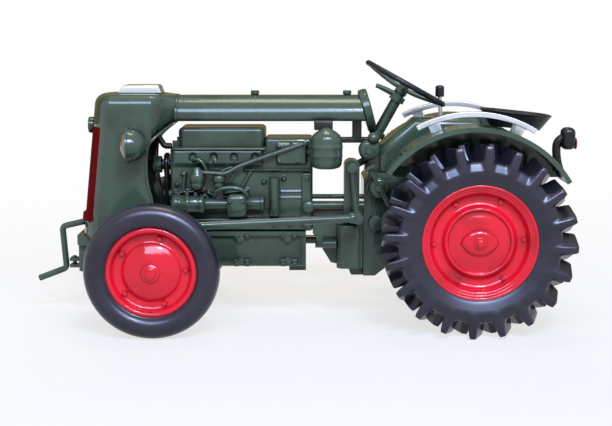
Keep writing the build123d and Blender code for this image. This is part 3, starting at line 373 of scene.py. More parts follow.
# Which nodes take which finish
PAINT: dict[Slot, tuple[str, ...]] = {
    Slot.GREEN: (
        "air_cleaner", "clutch_housing", "control_rods", "dash_plate", "drag_link", "drawbar", "drop_arm",
        "engine_block", "exhaust", "fenders", "footboards", "front_axle", "front_frame", "front_knuckles",
        "fuel_filters", "fuel_pipe", "fuel_tank", "gear_cover", "gearbox", "grille_badge", "hand_crank",
        "headlamps", "injection_pump", "oil_pan", "pedals", "radiator_shell", "rear_axle_housings",
        "rocker_cover", "seat_post", "steering_box", "steering_column", "tank_caps", "tie_rod"),
    Slot.RED: ("front_rim_left", "front_rim_right", "rear_rim_left", "rear_rim_right"),
    Slot.GRILLE: ("grille",),
    Slot.BRIGHT: ("fender_rails", "filler_cover"),
    Slot.STEEL: ("gear_lever", "rear_axle_shafts"),
    Slot.PLASTIC: ("gear_knob", "rear_lamp", "seat", "steering_wheel"),
    Slot.BLACK: ("cooling_fan", "radiator_core", "radiator_hose", "tank_support"),
    Slot.TYRE: ("front_tyre_left", "front_tyre_right", "rear_tyre_left", "rear_tyre_right"),
    Slot.LENS: ("headlamp_lenses",),
    Slot.RED_LENS: ("rear_lamp_lens",),
}


class Workshop:
    """Holds the finishes and turns arrays into pieces that ride on the frame."""

    def __init__(self) -> None:
        """Mix every finish once."""
        self.materials = {slot: finish.material() for slot, finish in FINISHES.items()}
        self.home = {name: slot for slot, names in PAINT.items() for name in names}
        low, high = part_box("rear_tyre_left")
        self.datum = np.array([(low.x + high.x) / 2, 0.0, 0.0])
        self.made: set[str] = set()

    def finish_piece(self, thing: bpy.types.Object, slot: Slot, body: str, replaces: Sequence[str]) -> None:
        """Paint a new piece, set it on its body and report it.

        Args:
            thing: the piece.
            slot: its finish.
            body: the body that it rides on.
            replaces: the nodes that it stands for.
        """
        thing.data.materials.clear()
        thing.data.materials.append(self.materials[slot])
        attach(thing, body)
        if replaces:
            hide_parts(*replaces)
            self.made.update(replaces)
        LOG.info("%s on %s, %d faces", thing.name, body, len(thing.data.polygons))

    def piece(self, name: str, sheets: Sequence[np.ndarray], slot: Slot, body: str = CHASSIS,
              replaces: Sequence[str] = (), smooth_deg: float = 50.0) -> None:
        """Join grids of points into one piece.

        Args:
            name: the piece's name.
            sheets: arrays of shape (rows, columns, 3), in millimetres from the point on the floor under the
                rear axle; each becomes a grid of four-sided faces.
            slot: its finish.
            body: the body that it rides on.
            replaces: the nodes that it stands for.
            smooth_deg: edges sharper than this stay sharp.
        """
        points, faces, start = [], [], 0
        for sheet in sheets:
            rows, columns = sheet.shape[:2]
            index = np.arange(rows * columns).reshape(rows, columns) + start
            quads = np.stack([index[:-1, :-1], index[1:, :-1], index[1:, 1:], index[:-1, 1:]], axis=-1)
            points.append(sheet.reshape(-1, 3) * MM + self.datum)
            faces.append(quads.reshape(-1, 4))
            start += rows * columns
        mesh = bpy.data.meshes.new(name)
        mesh.from_pydata(np.concatenate(points).tolist(), [], np.concatenate(faces).tolist())
        thing = bpy.data.objects.new(name, mesh)
        bpy.context.scene.collection.objects.link(thing)
        close_mesh(mesh, merge_mm=0.002)
        shade(mesh, smooth_deg)
        self.finish_piece(thing, slot, body, replaces)


def close_mesh(mesh: bpy.types.Mesh, merge_mm: float, flat_deg: float = 0.0) -> None:
    """Weld the seams and poles, drop empty faces and point every face outwards.

    Args:
        mesh: the mesh to close.
        merge_mm: points nearer than this become one.
        flat_deg: neighbouring faces flatter than this become one face.
    """
    work = bmesh.new()
    work.from_mesh(mesh)
    bmesh.ops.remove_doubles(work, verts=work.verts, dist=merge_mm * MM)
    bmesh.ops.dissolve_degenerate(work, edges=work.edges, dist=merge_mm * MM * 0.5)
    if flat_deg:
        bmesh.ops.dissolve_limit(work, angle_limit=math.radians(flat_deg), verts=work.verts, edges=work.edges)
    bmesh.ops.recalc_face_normals(work, faces=work.faces)
    work.to_mesh(mesh)
    work.free()


def shade(mesh: bpy.types.Mesh, sharp_deg: float) -> None:
    """Smooth a mesh except at its sharp edges.

    Args:
        mesh: the mesh to shade.
        sharp_deg: edges that bend by more than this stay sharp.
    """
    mesh.polygons.foreach_set("use_smooth", np.ones(len(mesh.polygons), dtype=bool))
    mesh.set_sharp_from_angle(angle=math.radians(sharp_deg))


def lathe(profile: Sequence[Pair] | np.ndarray, turns: int) -> np.ndarray:
    """Turn a profile about the y axis: x = r sin a, y = across, z = r cos a, over a whole circle of angles a.

    Args:
        profile: rows of radius and place across.
        turns: columns round the circle.

    Returns:
        Grid of points with its first column repeated at the end.
    """
    radius, across = np.asarray(profile, dtype=float).T
    angle = np.linspace(0.0, TURN, turns + 1)
    return np.stack([np.outer(radius, np.sin(angle)), np.outer(across, np.ones_like(angle)),
                     np.outer(radius, np.cos(angle))], axis=-1)


def turned(profile: Sequence[Pair] | np.ndarray, turns: int, foot: Sequence[float],
           axis: Sequence[float]) -> np.ndarray:
    """Turn a profile about an axis that starts at a point.

    Args:
        profile: rows of radius and height along the axis.
        turns: columns round the axis.
        foot: where the height is zero.
        axis: direction of the axis.

    Returns:
        Grid of points with its first column repeated at the end.
    """
    main = np.asarray(axis, dtype=float) / np.linalg.norm(axis)
    helper = np.array([0.0, 0.0, 1.0]) if abs(main[2]) < 0.9 else np.array([1.0, 0.0, 0.0])
    first = np.cross(helper, main)
    first /= np.linalg.norm(first)
    axes = np.stack([first, main, np.cross(first, main)])
    return lathe(profile, turns) @ axes + np.asarray(foot, dtype=float)


def rounded_path(points: Sequence[Sequence[float]], cuts: int = 3) -> np.ndarray:
    """Round the corners of a path: each pass puts two points on every leg, a quarter in from its ends.

    Args:
        points: corners of the path.
        cuts: passes.

    Returns:
        The rounded path with its ends kept.
    """
    path = np.asarray(points, dtype=float)
    for _ in range(cuts):
        near = 0.75 * path[:-1] + 0.25 * path[1:]
        far = 0.25 * path[:-1] + 0.75 * path[1:]
        inner = np.stack([near, far], axis=1).reshape(-1, 3)
        path = np.concatenate([path[:1], inner[1:-1], path[-1:]])
    return path


def tube(points: Sequence[Sequence[float]], radius: float, sides: int = 12, flat: float = 1.0) -> np.ndarray:
    """Carry a circle along a rounded path, closed at both ends by rows that shrink to a point.

    Args:
        points: corners of the path.
        radius: the tube's radius.
        sides: columns round the tube.
        flat: height of the section over its width.

    Returns:
        Grid of points.
    """
    path = rounded_path(points)
    run = np.gradient(path, axis=0)
    run /= np.linalg.norm(run, axis=1, keepdims=True)
    helper = np.array([0.0, 1.0, 0.0]) if np.abs(run[:, 1]).max() < 0.95 else np.array([0.3, 0.0, 1.0])
    first = np.cross(run, helper)
    first /= np.linalg.norm(first, axis=1, keepdims=True)
    second = np.cross(run, first)
    rows = [0, 0, *range(len(path)), -1, -1]
    path, first, second = path[rows], first[rows], second[rows]
    size = np.full((len(rows), 1, 1), radius)
    size[:3, 0, 0] = radius * np.array([0.0, 0.75, 1.0])
    size[-3:] = size[2::-1]
    angle = np.linspace(0.0, TURN, sides + 1)[None, :, None]
    return path[:, None] + size * (np.cos(angle) * first[:, None] * flat + np.sin(angle) * second[:, None])


def soft_box(low: Sequence[float], high: Sequence[float], edge: float, steps: int = 3) -> np.ndarray:
    """A box with round edges: a ball's directions, each pushed out to its own corner of the box.

    Args:
        low: least corner.
        high: greatest corner.
        edge: radius of the edges.
        steps: columns in a quarter turn.

    Returns:
        Grid of points closed at its poles.
    """
    low, high = np.asarray(low, dtype=float), np.asarray(high, dtype=float)
    quarter = np.linspace(0.01, math.pi / 2 - 0.01, steps + 1)
    round_ = np.concatenate([quarter + i * math.pi / 2 for i in range(4)] + [quarter[:1]])
    rise = np.concatenate([[-math.pi / 2], quarter - math.pi / 2, quarter, [math.pi / 2]])
    lat, lon = np.meshgrid(rise, round_, indexing="ij")
    ball = np.stack([np.cos(lat) * np.cos(lon), np.cos(lat) * np.sin(lon), np.sin(lat)], axis=-1)
    corner = np.stack([np.sign(np.cos(lon)), np.sign(np.sin(lon)), np.sign(lat)], axis=-1)
    corner[0], corner[-1] = corner[1], corner[-2]
    core = (high - low) / 2 - edge
    grid = (low + high) / 2 + corner * core + ball * edge
    ends = grid[[0, -1]].mean(axis=1, keepdims=True) * np.ones_like(grid[:1])
    return np.concatenate([ends[:1], grid, ends[1:]])


def dome(foot: Sequence[float], axis: Sequence[float], radius: float, height: float,
         sides: int = 8) -> np.ndarray:
    """A round-headed bolt or cap standing on a face.

    Args:
        foot: middle of its base.
        axis: direction that it stands in.
        radius: radius of its base.
        height: rise of its head.
        sides: columns round it.

    Returns:
        Grid of points, open only at its sunken base.
    """
    profile = [(radius, -0.2), (radius, height * 0.45), (radius * 0.8, height * 0.85), (0.0, height)]
    return turned(profile, sides, foot, axis)


@dataclass
class Wheel:
    """One wheel: a tyre and a pressed rim that turn together."""

    shop: Workshop
    axle: Axle
    side: Side
    tyre_r: float
    rim_profile: tuple[Pair, ...]
    bolts: int
    bolt_ring: float
    bolt_level: float
    bolt_r: float = 0.42
    bolt_h: float = 0.5
    bolt_phase_deg: float = -3.0
    rim_turns: int = 96

    @property
    def body(self) -> str:
        """Name of the body that turns."""
        return f"{self.axle.value}_wheel_{self.side.word}"

    def node(self, kind: str) -> str:
        """Name of the wheel's tyre or rim node."""
        return f"{self.axle.value}_{kind}_{self.side.word}"

    def placed(self, grid: np.ndarray) -> np.ndarray:
        """Put a grid made round the y axis, outer side towards +y, at this wheel's place.

        Args:
            grid: points from the wheel's centre in millimetres.

        Returns:
            The points in the tractor's frame.
        """
        low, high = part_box(self.node("tyre"))
        centre = (np.array(low) + np.array(high)) / 2 - self.shop.datum
        return grid * np.array([1.0, self.side.value, 1.0]) + centre / MM

    def bolt_heads(self) -> list[np.ndarray]:
        """Round bolt heads spaced evenly on the rim.

        Returns:
            A grid of points for each bolt.
        """
        angle = np.radians(90.0 + self.bolt_phase_deg + 360.0 / self.bolts * np.arange(self.bolts))
        feet = np.stack([self.bolt_ring * np.sin(angle), np.full(self.bolts, self.bolt_level),
                         self.bolt_ring * np.cos(angle)], axis=-1)
        return [dome(foot, (0, 1, 0), self.bolt_r, self.bolt_h) for foot in feet]

    def rim(self, centre: list[np.ndarray]) -> None:
        """Turn the rim from its profile and add its bolts and middle.

        Args:
            centre: grids of the pieces at the wheel's middle.
        """
        node = self.node("rim")
        sheets = [lathe(self.rim_profile, self.rim_turns), *self.bolt_heads(), *centre]
        self.shop.piece(node + "_pressing", [self.placed(s) for s in sheets], Slot.RED, self.body, (node,))

    def moulding(self, grid: np.ndarray, smooth_deg: float) -> None:
        """Make the tyre's piece from a grid round the wheel's centre."""
        node = self.node("tyre")
        self.shop.piece(node + "_moulding", [self.placed(grid)], Slot.TYRE, self.body, (node,), smooth_deg)


# Rim sections from the middle of the disc, round the flanges and back inside: radius and place across
REAR_RIM: tuple[Pair, ...] = (
    (0.0, 2.34), (1.5, 2.3), (2.6, 2.16), (3.4, 1.96), (4.1, 1.7), (4.5, 1.54), (4.7, 1.58), (4.82, 1.8),
    (4.98, 2.0), (5.18, 2.02), (5.34, 1.9), (5.46, 1.7), (5.62, 1.42), (5.9, 1.2), (6.3, 1.1),
    (6.75, 1.1), (7.1, 1.26), (7.36, 1.5), (7.52, 1.84), (7.62, 2.2), (7.72, 2.38), (8.0, 2.5),
    (8.06, 2.5), (8.12, 2.6), (8.38, 2.71), (8.44, 2.71), (8.5, 2.82), (8.7, 2.92), (8.84, 2.94),
    (8.96, 2.84), (8.95, 2.6), (8.4, 2.5), (8.4, -2.5), (8.95, -2.6), (8.96, -2.94), (8.86, -3.1),
    (8.5, -3.1), (7.8, -2.9), (7.75, 0.3), (5.6, 0.45), (2.2, 0.5), (2.1, -4.1), (1.15, -4.1),
    (1.15, 1.2), (0.0, 1.2))
FRONT_RIM: tuple[Pair, ...] = (
    (0.0, 1.95), (1.6, 1.86), (2.4, 1.68), (3.2, 1.4), (3.9, 1.06), (4.36, 0.82), (4.5, 0.68),
    (4.62, 0.56), (4.9, 0.46), (5.3, 0.46), (5.66, 0.56), (5.9, 0.74), (6.04, 0.98), (6.12, 1.24),
    (6.26, 1.5), (6.46, 1.64), (6.72, 1.66), (6.94, 1.56), (7.06, 1.36), (7.05, 1.1), (6.5, 1.0),
    (6.5, -1.0), (7.05, -1.1), (7.06, -1.4), (6.9, -1.6), (6.4, -1.6), (6.0, -1.4), (5.9, -0.1),
    (1.9, 0.0), (1.8, -1.4), (0.85, -1.4), (0.85, 0.7), (0.0, 0.7))


@dataclass
class RearWheel(Wheel):
    """Driving wheel with chevron lugs and a lens-shaped boss."""

    tyre_r: float = 15.0
    rim_profile: tuple[Pair, ...] = REAR_RIM
    bolts: int = 6
    bolt_ring: float = 6.9
    bolt_level: float = 1.12
    lugs: int = 20
    per_lug: int = 24
    half_w: float = 3.8
    sweep: float = 1.7
    stagger_deg: float = 4.5
    tip_w: float = 0.8
    root_w: float = 2.4
    boss_l: float = 5.9
    boss_h: float = 4.2
    boss_rise: float = 0.85
    boss_level: float = 2.08
    # Each row of lugs runs past the middle by the overlap and fades out there; flare hollows a lug's flanks
    overlap: float = 0.45
    overlap_fade: float = 0.3
    flare: float = 2.5
    # Half sections from the crown to the bead: radius and place across, in a pocket and on a lug
    pocket: tuple[Pair, ...] = (
        (12.6, 0.0), (12.6, 0.35), (12.6, 0.8), (12.6, 1.3), (12.6, 1.8), (12.58, 2.25), (12.55, 2.6),
        (12.5, 2.88), (12.4, 3.06), (12.24, 3.2), (12.02, 3.3), (11.78, 3.4), (11.54, 3.5), (11.3, 3.6),
        (11.06, 3.7), (10.82, 3.7), (10.4, 3.55), (9.9, 3.35), (9.5, 3.19), (9.2, 3.06), (9.02, 2.95),
        (8.9, 2.8), (8.45, 2.75))
    crest: tuple[Pair, ...] = (
        (15.0, 0.0), (15.0, 0.35), (15.0, 0.8), (15.0, 1.35), (15.0, 1.95), (15.0, 2.5), (15.0, 3.0),
        (14.96, 3.32), (14.84, 3.46), (14.3, 3.53), (13.6, 3.6), (12.9, 3.66), (12.2, 3.71), (11.6, 3.76),
        (11.14, 3.79))

    def build(self) -> None:
        """Make the tyre and the rim."""
        self.tyre()
        self.rim([self.boss(), self.nub()])

    def tyre(self) -> None:
        """Moulded tyre: a section that goes between pocket and lug as it turns.

        The columns lean with the lugs. At each point the section is the pocket's plus a share of the way to
        the lug's; the share is one on a lug's crest and falls off in a curve that is steep at the crest and
        flat at the foot, which leaves round-bottomed pockets.
        """
        low = np.array(self.pocket)
        high = low.copy()
        high[:len(self.crest)] = self.crest
        low, high = (np.concatenate([h[:0:-1] * (1, -1), h, h[-1:] * (1, -1)]) for h in (low, high))
        across = high[:, 1:2]
        pitch = TURN / self.lugs
        angle = np.linspace(0.0, TURN, self.lugs * self.per_lug + 1)[None, :]
        lean = self.sweep / self.tyre_r * (1.0 - np.abs(across) / self.half_w)
        share = np.zeros((len(low), angle.shape[1]))
        for sign in (1, -1):
            gap = (angle - math.radians(sign * self.stagger_deg) + pitch / 2) % pitch - pitch / 2
            away = np.abs(gap) * (self.tyre_r + low[0, 0]) / 2
            fall = np.clip((away - self.tip_w / 2) / (self.root_w - self.tip_w) * 2, 0.0, 1.0)
            inner = np.clip((across * sign + self.overlap) / self.overlap_fade, 0.0, 1.0)
            share = np.maximum(share, (1.0 - fall) ** self.flare * inner)
        radius = low[:, :1] + share * (high - low)[:, :1]
        out = low[:, 1:] + share * (high - low)[:, 1:]
        around = angle - lean
        grid = np.stack([radius * np.sin(around), out, radius * np.cos(around)], axis=-1)
        self.moulding(grid, smooth_deg=55.0)

    def boss(self) -> np.ndarray:
        """Lens-shaped boss: rays from the middle to the edge of two crossing circles, rising to a soft top.

        Returns:
            Grid of points from the wheel's centre.
        """
        bow = (self.boss_l ** 2 + self.boss_h ** 2) / (4 * self.boss_h)
        shift = bow - self.boss_h / 2
        angle = np.linspace(0.0, TURN, 73)
        edge = np.sqrt(bow ** 2 - (shift * np.cos(angle)) ** 2) - shift * np.abs(np.sin(angle))
        share = np.array([1.04, 1.0, 0.96, 0.9, 0.7, 0.4, 0.0])
        rise = np.array([-0.4, 0.1, 0.4, 0.62, 0.86, 0.98, 1.0]) * self.boss_rise + self.boss_level
        return np.stack([np.outer(share, edge * np.cos(angle)), np.outer(rise, np.ones_like(angle)),
                         np.outer(share, edge * np.sin(angle))], axis=-1)

    def nub(self) -> np.ndarray:
        """Stepped round nub at the boss's middle."""
        profile = [(1.05, 2.6), (1.05, 3.02), (0.95, 3.12), (0.68, 3.14), (0.64, 3.28), (0.5, 3.4),
                   (0.0, 3.43)]
        return lathe(profile, 24)


@dataclass
class FrontWheel(Wheel):
    """Steered wheel: a smooth round tyre on a small rim with a hub cap."""

    tyre_r: float = 10.5
    rim_profile: tuple[Pair, ...] = FRONT_RIM
    bolts: int = 5
    bolt_ring: float = 5.3
    bolt_level: float = 0.46
    half_w: float = 2.3
    middle_r: float = 8.62
    bead_r: float = 6.6
    bead_w: float = 1.35
    bead_deg: float = 142.0
    tyre_turns: int = 120
    cap_turns: int = 48
    flutes: int = 8

    def build(self) -> None:
        """Make the tyre and the rim."""
        self.tyre()
        self.rim([self.cap()])

    def tyre(self) -> None:
        """Plain tyre turned from a full oval section that is cut off at the bead."""
        t = np.radians(np.linspace(-self.bead_deg, self.bead_deg, 45))
        rise = self.tyre_r - self.middle_r
        radius = self.middle_r + rise * np.sign(np.cos(t)) * np.abs(np.cos(t)) ** 0.9
        across = self.half_w * np.sign(np.sin(t)) * np.abs(np.sin(t)) ** 0.82
        bead = np.array([(self.bead_r, self.bead_w), (self.bead_r, -self.bead_w), (radius[0], across[0])])
        profile = np.concatenate([np.stack([radius, across], axis=-1), bead])
        self.moulding(lathe(profile, self.tyre_turns), smooth_deg=60.0)

    def cap(self) -> np.ndarray:
        """Hub cap with a fluted edge: its radius swells and shrinks with each flute.

        Returns:
            Grid of points from the wheel's centre.
        """
        profile = [(1.5, 1.65), (1.5, 2.0), (1.36, 2.16), (1.0, 2.22), (0.86, 2.3), (0.82, 2.5), (0.6, 2.6),
                   (0.0, 2.62)]
        angle = np.linspace(0.0, TURN, self.cap_turns + 1)
        flute = np.array([0.03, 0.03, 0.04, 0.03, 0.0, 0.0, 0.0, 0.0])
        swell = 1.0 + np.outer(flute, np.cos(self.flutes * angle))
        return lathe(profile, self.cap_turns) * np.stack([swell, np.ones_like(swell), swell], axis=-1)


@dataclass
class Relief:
    """Height of a cast side over a grid of x and z, built up feature by feature."""

    x: np.ndarray
    z: np.ndarray
    level: np.ndarray
    fillet: float = 0.24

    def add(self, feature: np.ndarray) -> None:
        """Take the higher of the side and a feature, with a small fillet where they meet."""
        share = np.clip(0.5 - (self.level - feature) / self.fillet, 0.0, 1.0)
        self.level = self.level * (1 - share) + feature * share + self.fillet / 4 * share * (1 - share)

    def boss(self, low: Pair, high: Pair, rise: float, flank: float = 0.25,
             corner: float = 0.4) -> np.ndarray:
        """A flat boss with sloped flanks: full height inside a round-cornered outline, below zero outside.

        Args:
            low: least corner of the outline.
            high: greatest corner.
            rise: height of the boss.
            flank: width of its slope.
            corner: radius of its corners.

        Returns:
            Height at each grid point.
        """
        away_x = np.abs(self.x - (low[0] + high[0]) / 2) - (high[0] - low[0]) / 2 + corner
        away_z = np.abs(self.z - (low[1] + high[1]) / 2) - (high[1] - low[1]) / 2 + corner
        inside = np.minimum(np.maximum(away_x, away_z), 0)
        away = np.hypot(np.maximum(away_x, 0), np.maximum(away_z, 0)) + inside
        return rise * np.clip((corner - away) / flank, -1.0, 1.0)

    def sink(self, pocket: np.ndarray, rim: float) -> None:
        """Press a pocket into a face of this height."""
        self.level = np.minimum(self.level, rim - np.maximum(pocket, 0.0))

    def rib(self, start: Pair, end: Pair, radius: float, rise: float) -> None:
        """Add a round-topped rib: height falls off as a circle does with distance from a line.

        Args:
            start: one end of the line.
            end: its other end; the same point for a bolt.
            radius: half width.
            rise: height.
        """
        run = np.array(end) - np.array(start)
        off_x, off_z = self.x - start[0], self.z - start[1]
        share = np.clip((off_x * run[0] + off_z * run[1]) / max(float(run @ run), 1e-9), 0.0, 1.0)
        away = np.hypot(off_x - share * run[0], off_z - share * run[1]) / radius
        self.add(rise * np.where(away < 1.0, np.sqrt(np.clip(1.0 - away ** 2, 0.0, 1.0)), 1.0 - away))

    def bolts(self, places: Sequence[Pair], radius: float, rise: float) -> None:
        """Add round bolt heads."""
        for place in places:
            self.rib(place, place, radius, rise)


@dataclass
class EngineBlock:
    """Cast block and head, with the relief of its sides worked out on a grid of x and z."""

    shop: Workshop
    front: float = -48.7
    rear: float = -25.5
    bottom: float = 14.5
    top: float = 28.3
    half_w: float = 5.0
    head_front: float = -33.3
    head_top: float = 29.7
    head_half_w: float = 4.2
    edge_r: float = 0.5
    port_x: tuple[float, ...] = (-45.0, -41.6, -38.3, -34.9)
    flange_bolts: int = 9
    flange_pitch: float = 2.55
    flange_z: float = 15.6
    step: float = 0.14
    skin: float = 0.06
    sunk: float = -1.2
    relief_scale: float = 1.3
    # Bolts on the rear cover and on the side, and the ends of each pipe cast on the side, as x and z
    cover_bolts: tuple[Pair, ...] = (
        (-31.0, 28.5), (-31.0, 26.0), (-28.0, 26.0), (-26.9, 28.4), (-29.0, 28.7))
    side_bolts: tuple[Pair, ...] = (
        (-33.45, 22.7), (-30.2, 23.2), (-26.4, 23.2), (-26.4, 16.6), (-46.6, 24.0), (-47.6, 22.3))
    cast_pipes: tuple[tuple[Pair, Pair], ...] = (
        ((-46.6, 21.2), (-46.3, 24.2)), ((-43.2, 20.6), (-40.9, 18.3)), ((-42.6, 21.0), (-40.2, 19.4)),
        ((-47.9, 20.9), (-43.4, 21.2)), ((-37.2, 21.6), (-35.6, 24.4)), ((-39.8, 20.9), (-36.2, 21.3)))

    def build(self) -> None:
        """Make the block, its head and both reliefs."""
        half, head = self.half_w, self.head_half_w
        head_low, head_high = (self.head_front, -head, self.top - 1.0), (self.rear, head, self.head_top)
        sheets = [soft_box((self.front, -half, self.bottom), (self.rear, half, self.top), self.edge_r),
                  soft_box(head_low, head_high, self.edge_r)]
        sheets += [self.relief(side) * (1, side.value, 1) for side in Side]
        self.shop.piece("engine_block_casting", sheets, Slot.GREEN, replaces=("engine_block",),
                        smooth_deg=60.0)

    def relief(self, side: Side) -> np.ndarray:
        """Relief of one side: x and z run over the side, y sums up bosses, ribs, bolts and port pockets.

        Args:
            side: which side; only the left one, below the filters, carries cast-on pipes.

        Returns:
            Grid of points with y outward, sunk into the block at its edges.
        """
        x, z = np.meshgrid(np.arange(self.front + 0.25, self.rear - 0.2, self.step),
                           np.arange(self.bottom + 0.25, self.head_top - 0.3, self.step))
        cast = Relief(x, z, np.full_like(x, self.skin))
        # The ports' rail with its pockets, the ledge above it and the rib behind
        cast.add(cast.boss((self.front, 25.0), (self.head_front, 28.4), 0.42, 0.8))
        for port in self.port_x:
            cast.sink(cast.boss((port - 0.72, 25.75), (port + 0.72, 27.55), 0.42, 0.3, 0.7), 0.46)
            cast.bolts([(port, 26.2)], 0.36, 0.34)
        cast.rib((self.front + 0.7, 28.05), (self.head_front, 28.05), 0.26, 0.6)
        cast.rib((-36.5, 24.67), (self.rear, 24.67), 0.28, 0.5)
        # The rear cover, the rear flange, and what is cast on the side
        cast.add(cast.boss((-31.5, 25.5), (-26.4, 29.1), 0.5))
        cast.bolts(self.cover_bolts, 0.36, 0.82)
        cast.add(cast.boss((-27.4, 15.0), (self.rear, 24.3), 0.3))
        cast.bolts(self.side_bolts, 0.42, 0.5)
        for high in (21.1, 20.1):
            cast.rib((-30.8, high), (-27.2, high), 0.16, 0.2)
        for start, end in self.cast_pipes if side is Side.LEFT else ():
            cast.rib(start, end, 0.34, 0.42)
        # The pan's flange and its bolts
        cast.rib((self.front, 16.4), (self.rear, 16.7), 0.3, 0.5)
        along = self.front + 1.6 + self.flange_pitch * np.arange(self.flange_bolts)
        cast.bolts([(bolt, self.flange_z) for bolt in along], 0.4, 0.45)
        level = np.where((z > self.top + 0.1) & (x < self.head_front + 0.3), self.sunk, cast.level)
        level[[0, -1]], level[:, [0, -1]] = self.sunk, self.sunk
        return np.stack([x, self.half_w + self.relief_scale * level, z], axis=-1)


@dataclass
class EngineFittings:
    """Pump, filters, pipes and air cleaner on the engine's left side, and the bolts on the pan."""

    shop: Workshop
    pan_lug_x: tuple[float, ...] = (-38.0, -36.3, -30.35, -28.5)
    pan_lug_z: tuple[float, ...] = (13.85, 9.25)
    pan_face: float = 4.6
    # A lug's half width and half height, and how far it and its bolt stand out, as shares of the pan's face
    lug_half: Pair = (0.55, 0.65)
    lug_reach: float = 1.13
    lug_edge: float = 0.28
    lug_bolt_at: float = 1.12
    fan_z: float = 25.0
    crank_z: float = 19.8
    pulley_r: float = 1.75
    belt_x: float = -49.75
    belt_half_w: float = 0.34
    belt_half_h: float = 0.16
    belt_clear: float = 0.08
    # How sharply the belt passes from one pulley's centre to the other's
    belt_snap: float = 40.0

    def build(self) -> None:
        """Make every fitting."""
        self.pump()
        self.filters()
        self.pipes()
        self.cleaner()
        self.pan_lugs()
        self.linkage()
        self.fan_drive()

    def pump(self) -> None:
        """Injection pump: a ringed barrel, a coupling, the governor's rounded box and a shaft housing."""
        barrel = [(0.0, -0.5), (0.9, -0.45), (1.25, -0.2), (1.5, 0.0), (1.56, 0.2), (1.56, 0.7), (1.42, 0.8),
                  (1.42, 2.0), (1.52, 2.1), (1.52, 2.5), (1.42, 2.6), (1.42, 4.2), (1.54, 4.3), (1.54, 4.8),
                  (1.2, 5.1), (0.9, 5.2), (0.85, 8.8)]
        shaft = [(1.0, 0.0), (1.12, 0.2), (1.12, 2.4), (1.3, 2.5), (1.3, 2.9), (1.0, 3.05), (0.0, 3.1)]
        sheets = [turned(barrel, 28, (-48.1, -6.3, 19.22), BACKWARD),
                  turned(shaft, 24, (-36.4, -6.0, 19.3), BACKWARD),
                  soft_box((-39.4, -8.1, 17.3), (-36.2, -4.8, 20.9), 0.75)]
        sheets += [dome((x, -6.3, 20.5), UP, 0.38, 0.8) for x in (-47.3, -45.9, -44.5)]
        sheets += [dome((x, -8.05, 19.9), LEFTWARD, 0.34, 0.35) for x in (-38.8, -36.8)]
        self.shop.piece("injection_pump_casting", sheets, Slot.GREEN, replaces=("injection_pump",))

    def filters(self) -> None:
        """Two waisted filter cups turned about upright axes, with their brackets."""
        tall = [(0.0, 0.0), (0.55, 0.04), (0.95, 0.36), (1.08, 0.75), (1.02, 1.12), (1.0, 1.22), (1.12, 1.36),
                (1.22, 1.8), (1.2, 2.3), (1.02, 2.75), (0.78, 3.05), (0.74, 3.4), (0.5, 3.72), (0.0, 3.78)]
        short = [(0.0, 0.0), (0.5, 0.04), (0.8, 0.34), (0.86, 0.68), (0.78, 0.92), (0.78, 1.0), (0.98, 1.16),
                 (1.06, 1.5), (1.04, 1.95), (0.86, 2.2), (0.0, 2.3)]
        sheets = [turned(tall, 24, (-44.23, -6.5, 21.5), UP),
                  turned(short, 24, (-40.75, -6.25, 21.68), UP),
                  soft_box((-44.9, -6.4, 24.2), (-43.5, -4.9, 25.0), 0.25),
                  soft_box((-41.4, -6.2, 23.2), (-40.1, -4.9, 23.9), 0.25)]
        self.shop.piece("fuel_filters_castings", sheets, Slot.GREEN, replaces=("fuel_filters",))

    def pipes(self) -> None:
        """Fuel pipe from the first filter up to the air cleaner's side, and the small pipes beside it."""
        main = [(-43.2, -6.4, 24.35), (-41.6, -6.55, 24.25), (-39.6, -6.55, 24.1), (-37.7, -6.35, 25.35),
                (-32.0, -6.0, 27.3), (-26.7, -5.75, 29.1)]
        first = [(-45.0, -5.4, 26.3), (-44.3, -6.0, 26.6), (-43.3, -6.2, 26.0), (-42.7, -6.2, 24.6)]
        thin = [(-39.5, -5.5, 21.7), (-39.2, -5.9, 22.6), (-38.5, -5.9, 23.5), (-38.3, -5.8, 24.6)]
        loop = [(-41.6, -6.3, 20.2), (-41.2, -6.9, 21.4), (-39.9, -7.1, 22.0), (-37.4, -7.0, 21.9),
                (-36.2, -6.8, 21.0), (-35.9, -6.3, 19.6)]
        sheets = [tube(main, 0.36), dome((-43.4, -6.5, 24.35), (-1, 0, 0), 0.5, 0.45),
                  dome((-26.7, -5.9, 29.1), LEFTWARD, 0.5, 0.4),
                  tube(first, 0.27), tube(thin, 0.18, 8),
                  tube([(-40.7, -6.3, 24.0), (-40.2, -6.3, 24.7), (-38.6, -5.9, 25.2)], 0.2, 8),
                  tube([(-31.75, -5.55, 17.2), (-31.75, -5.55, 23.4)], 0.8, 16, flat=1.05),
                  tube(loop, 0.34)]
        self.shop.piece("fuel_pipe_bent", sheets, Slot.GREEN, replaces=("fuel_pipe",), smooth_deg=60.0)

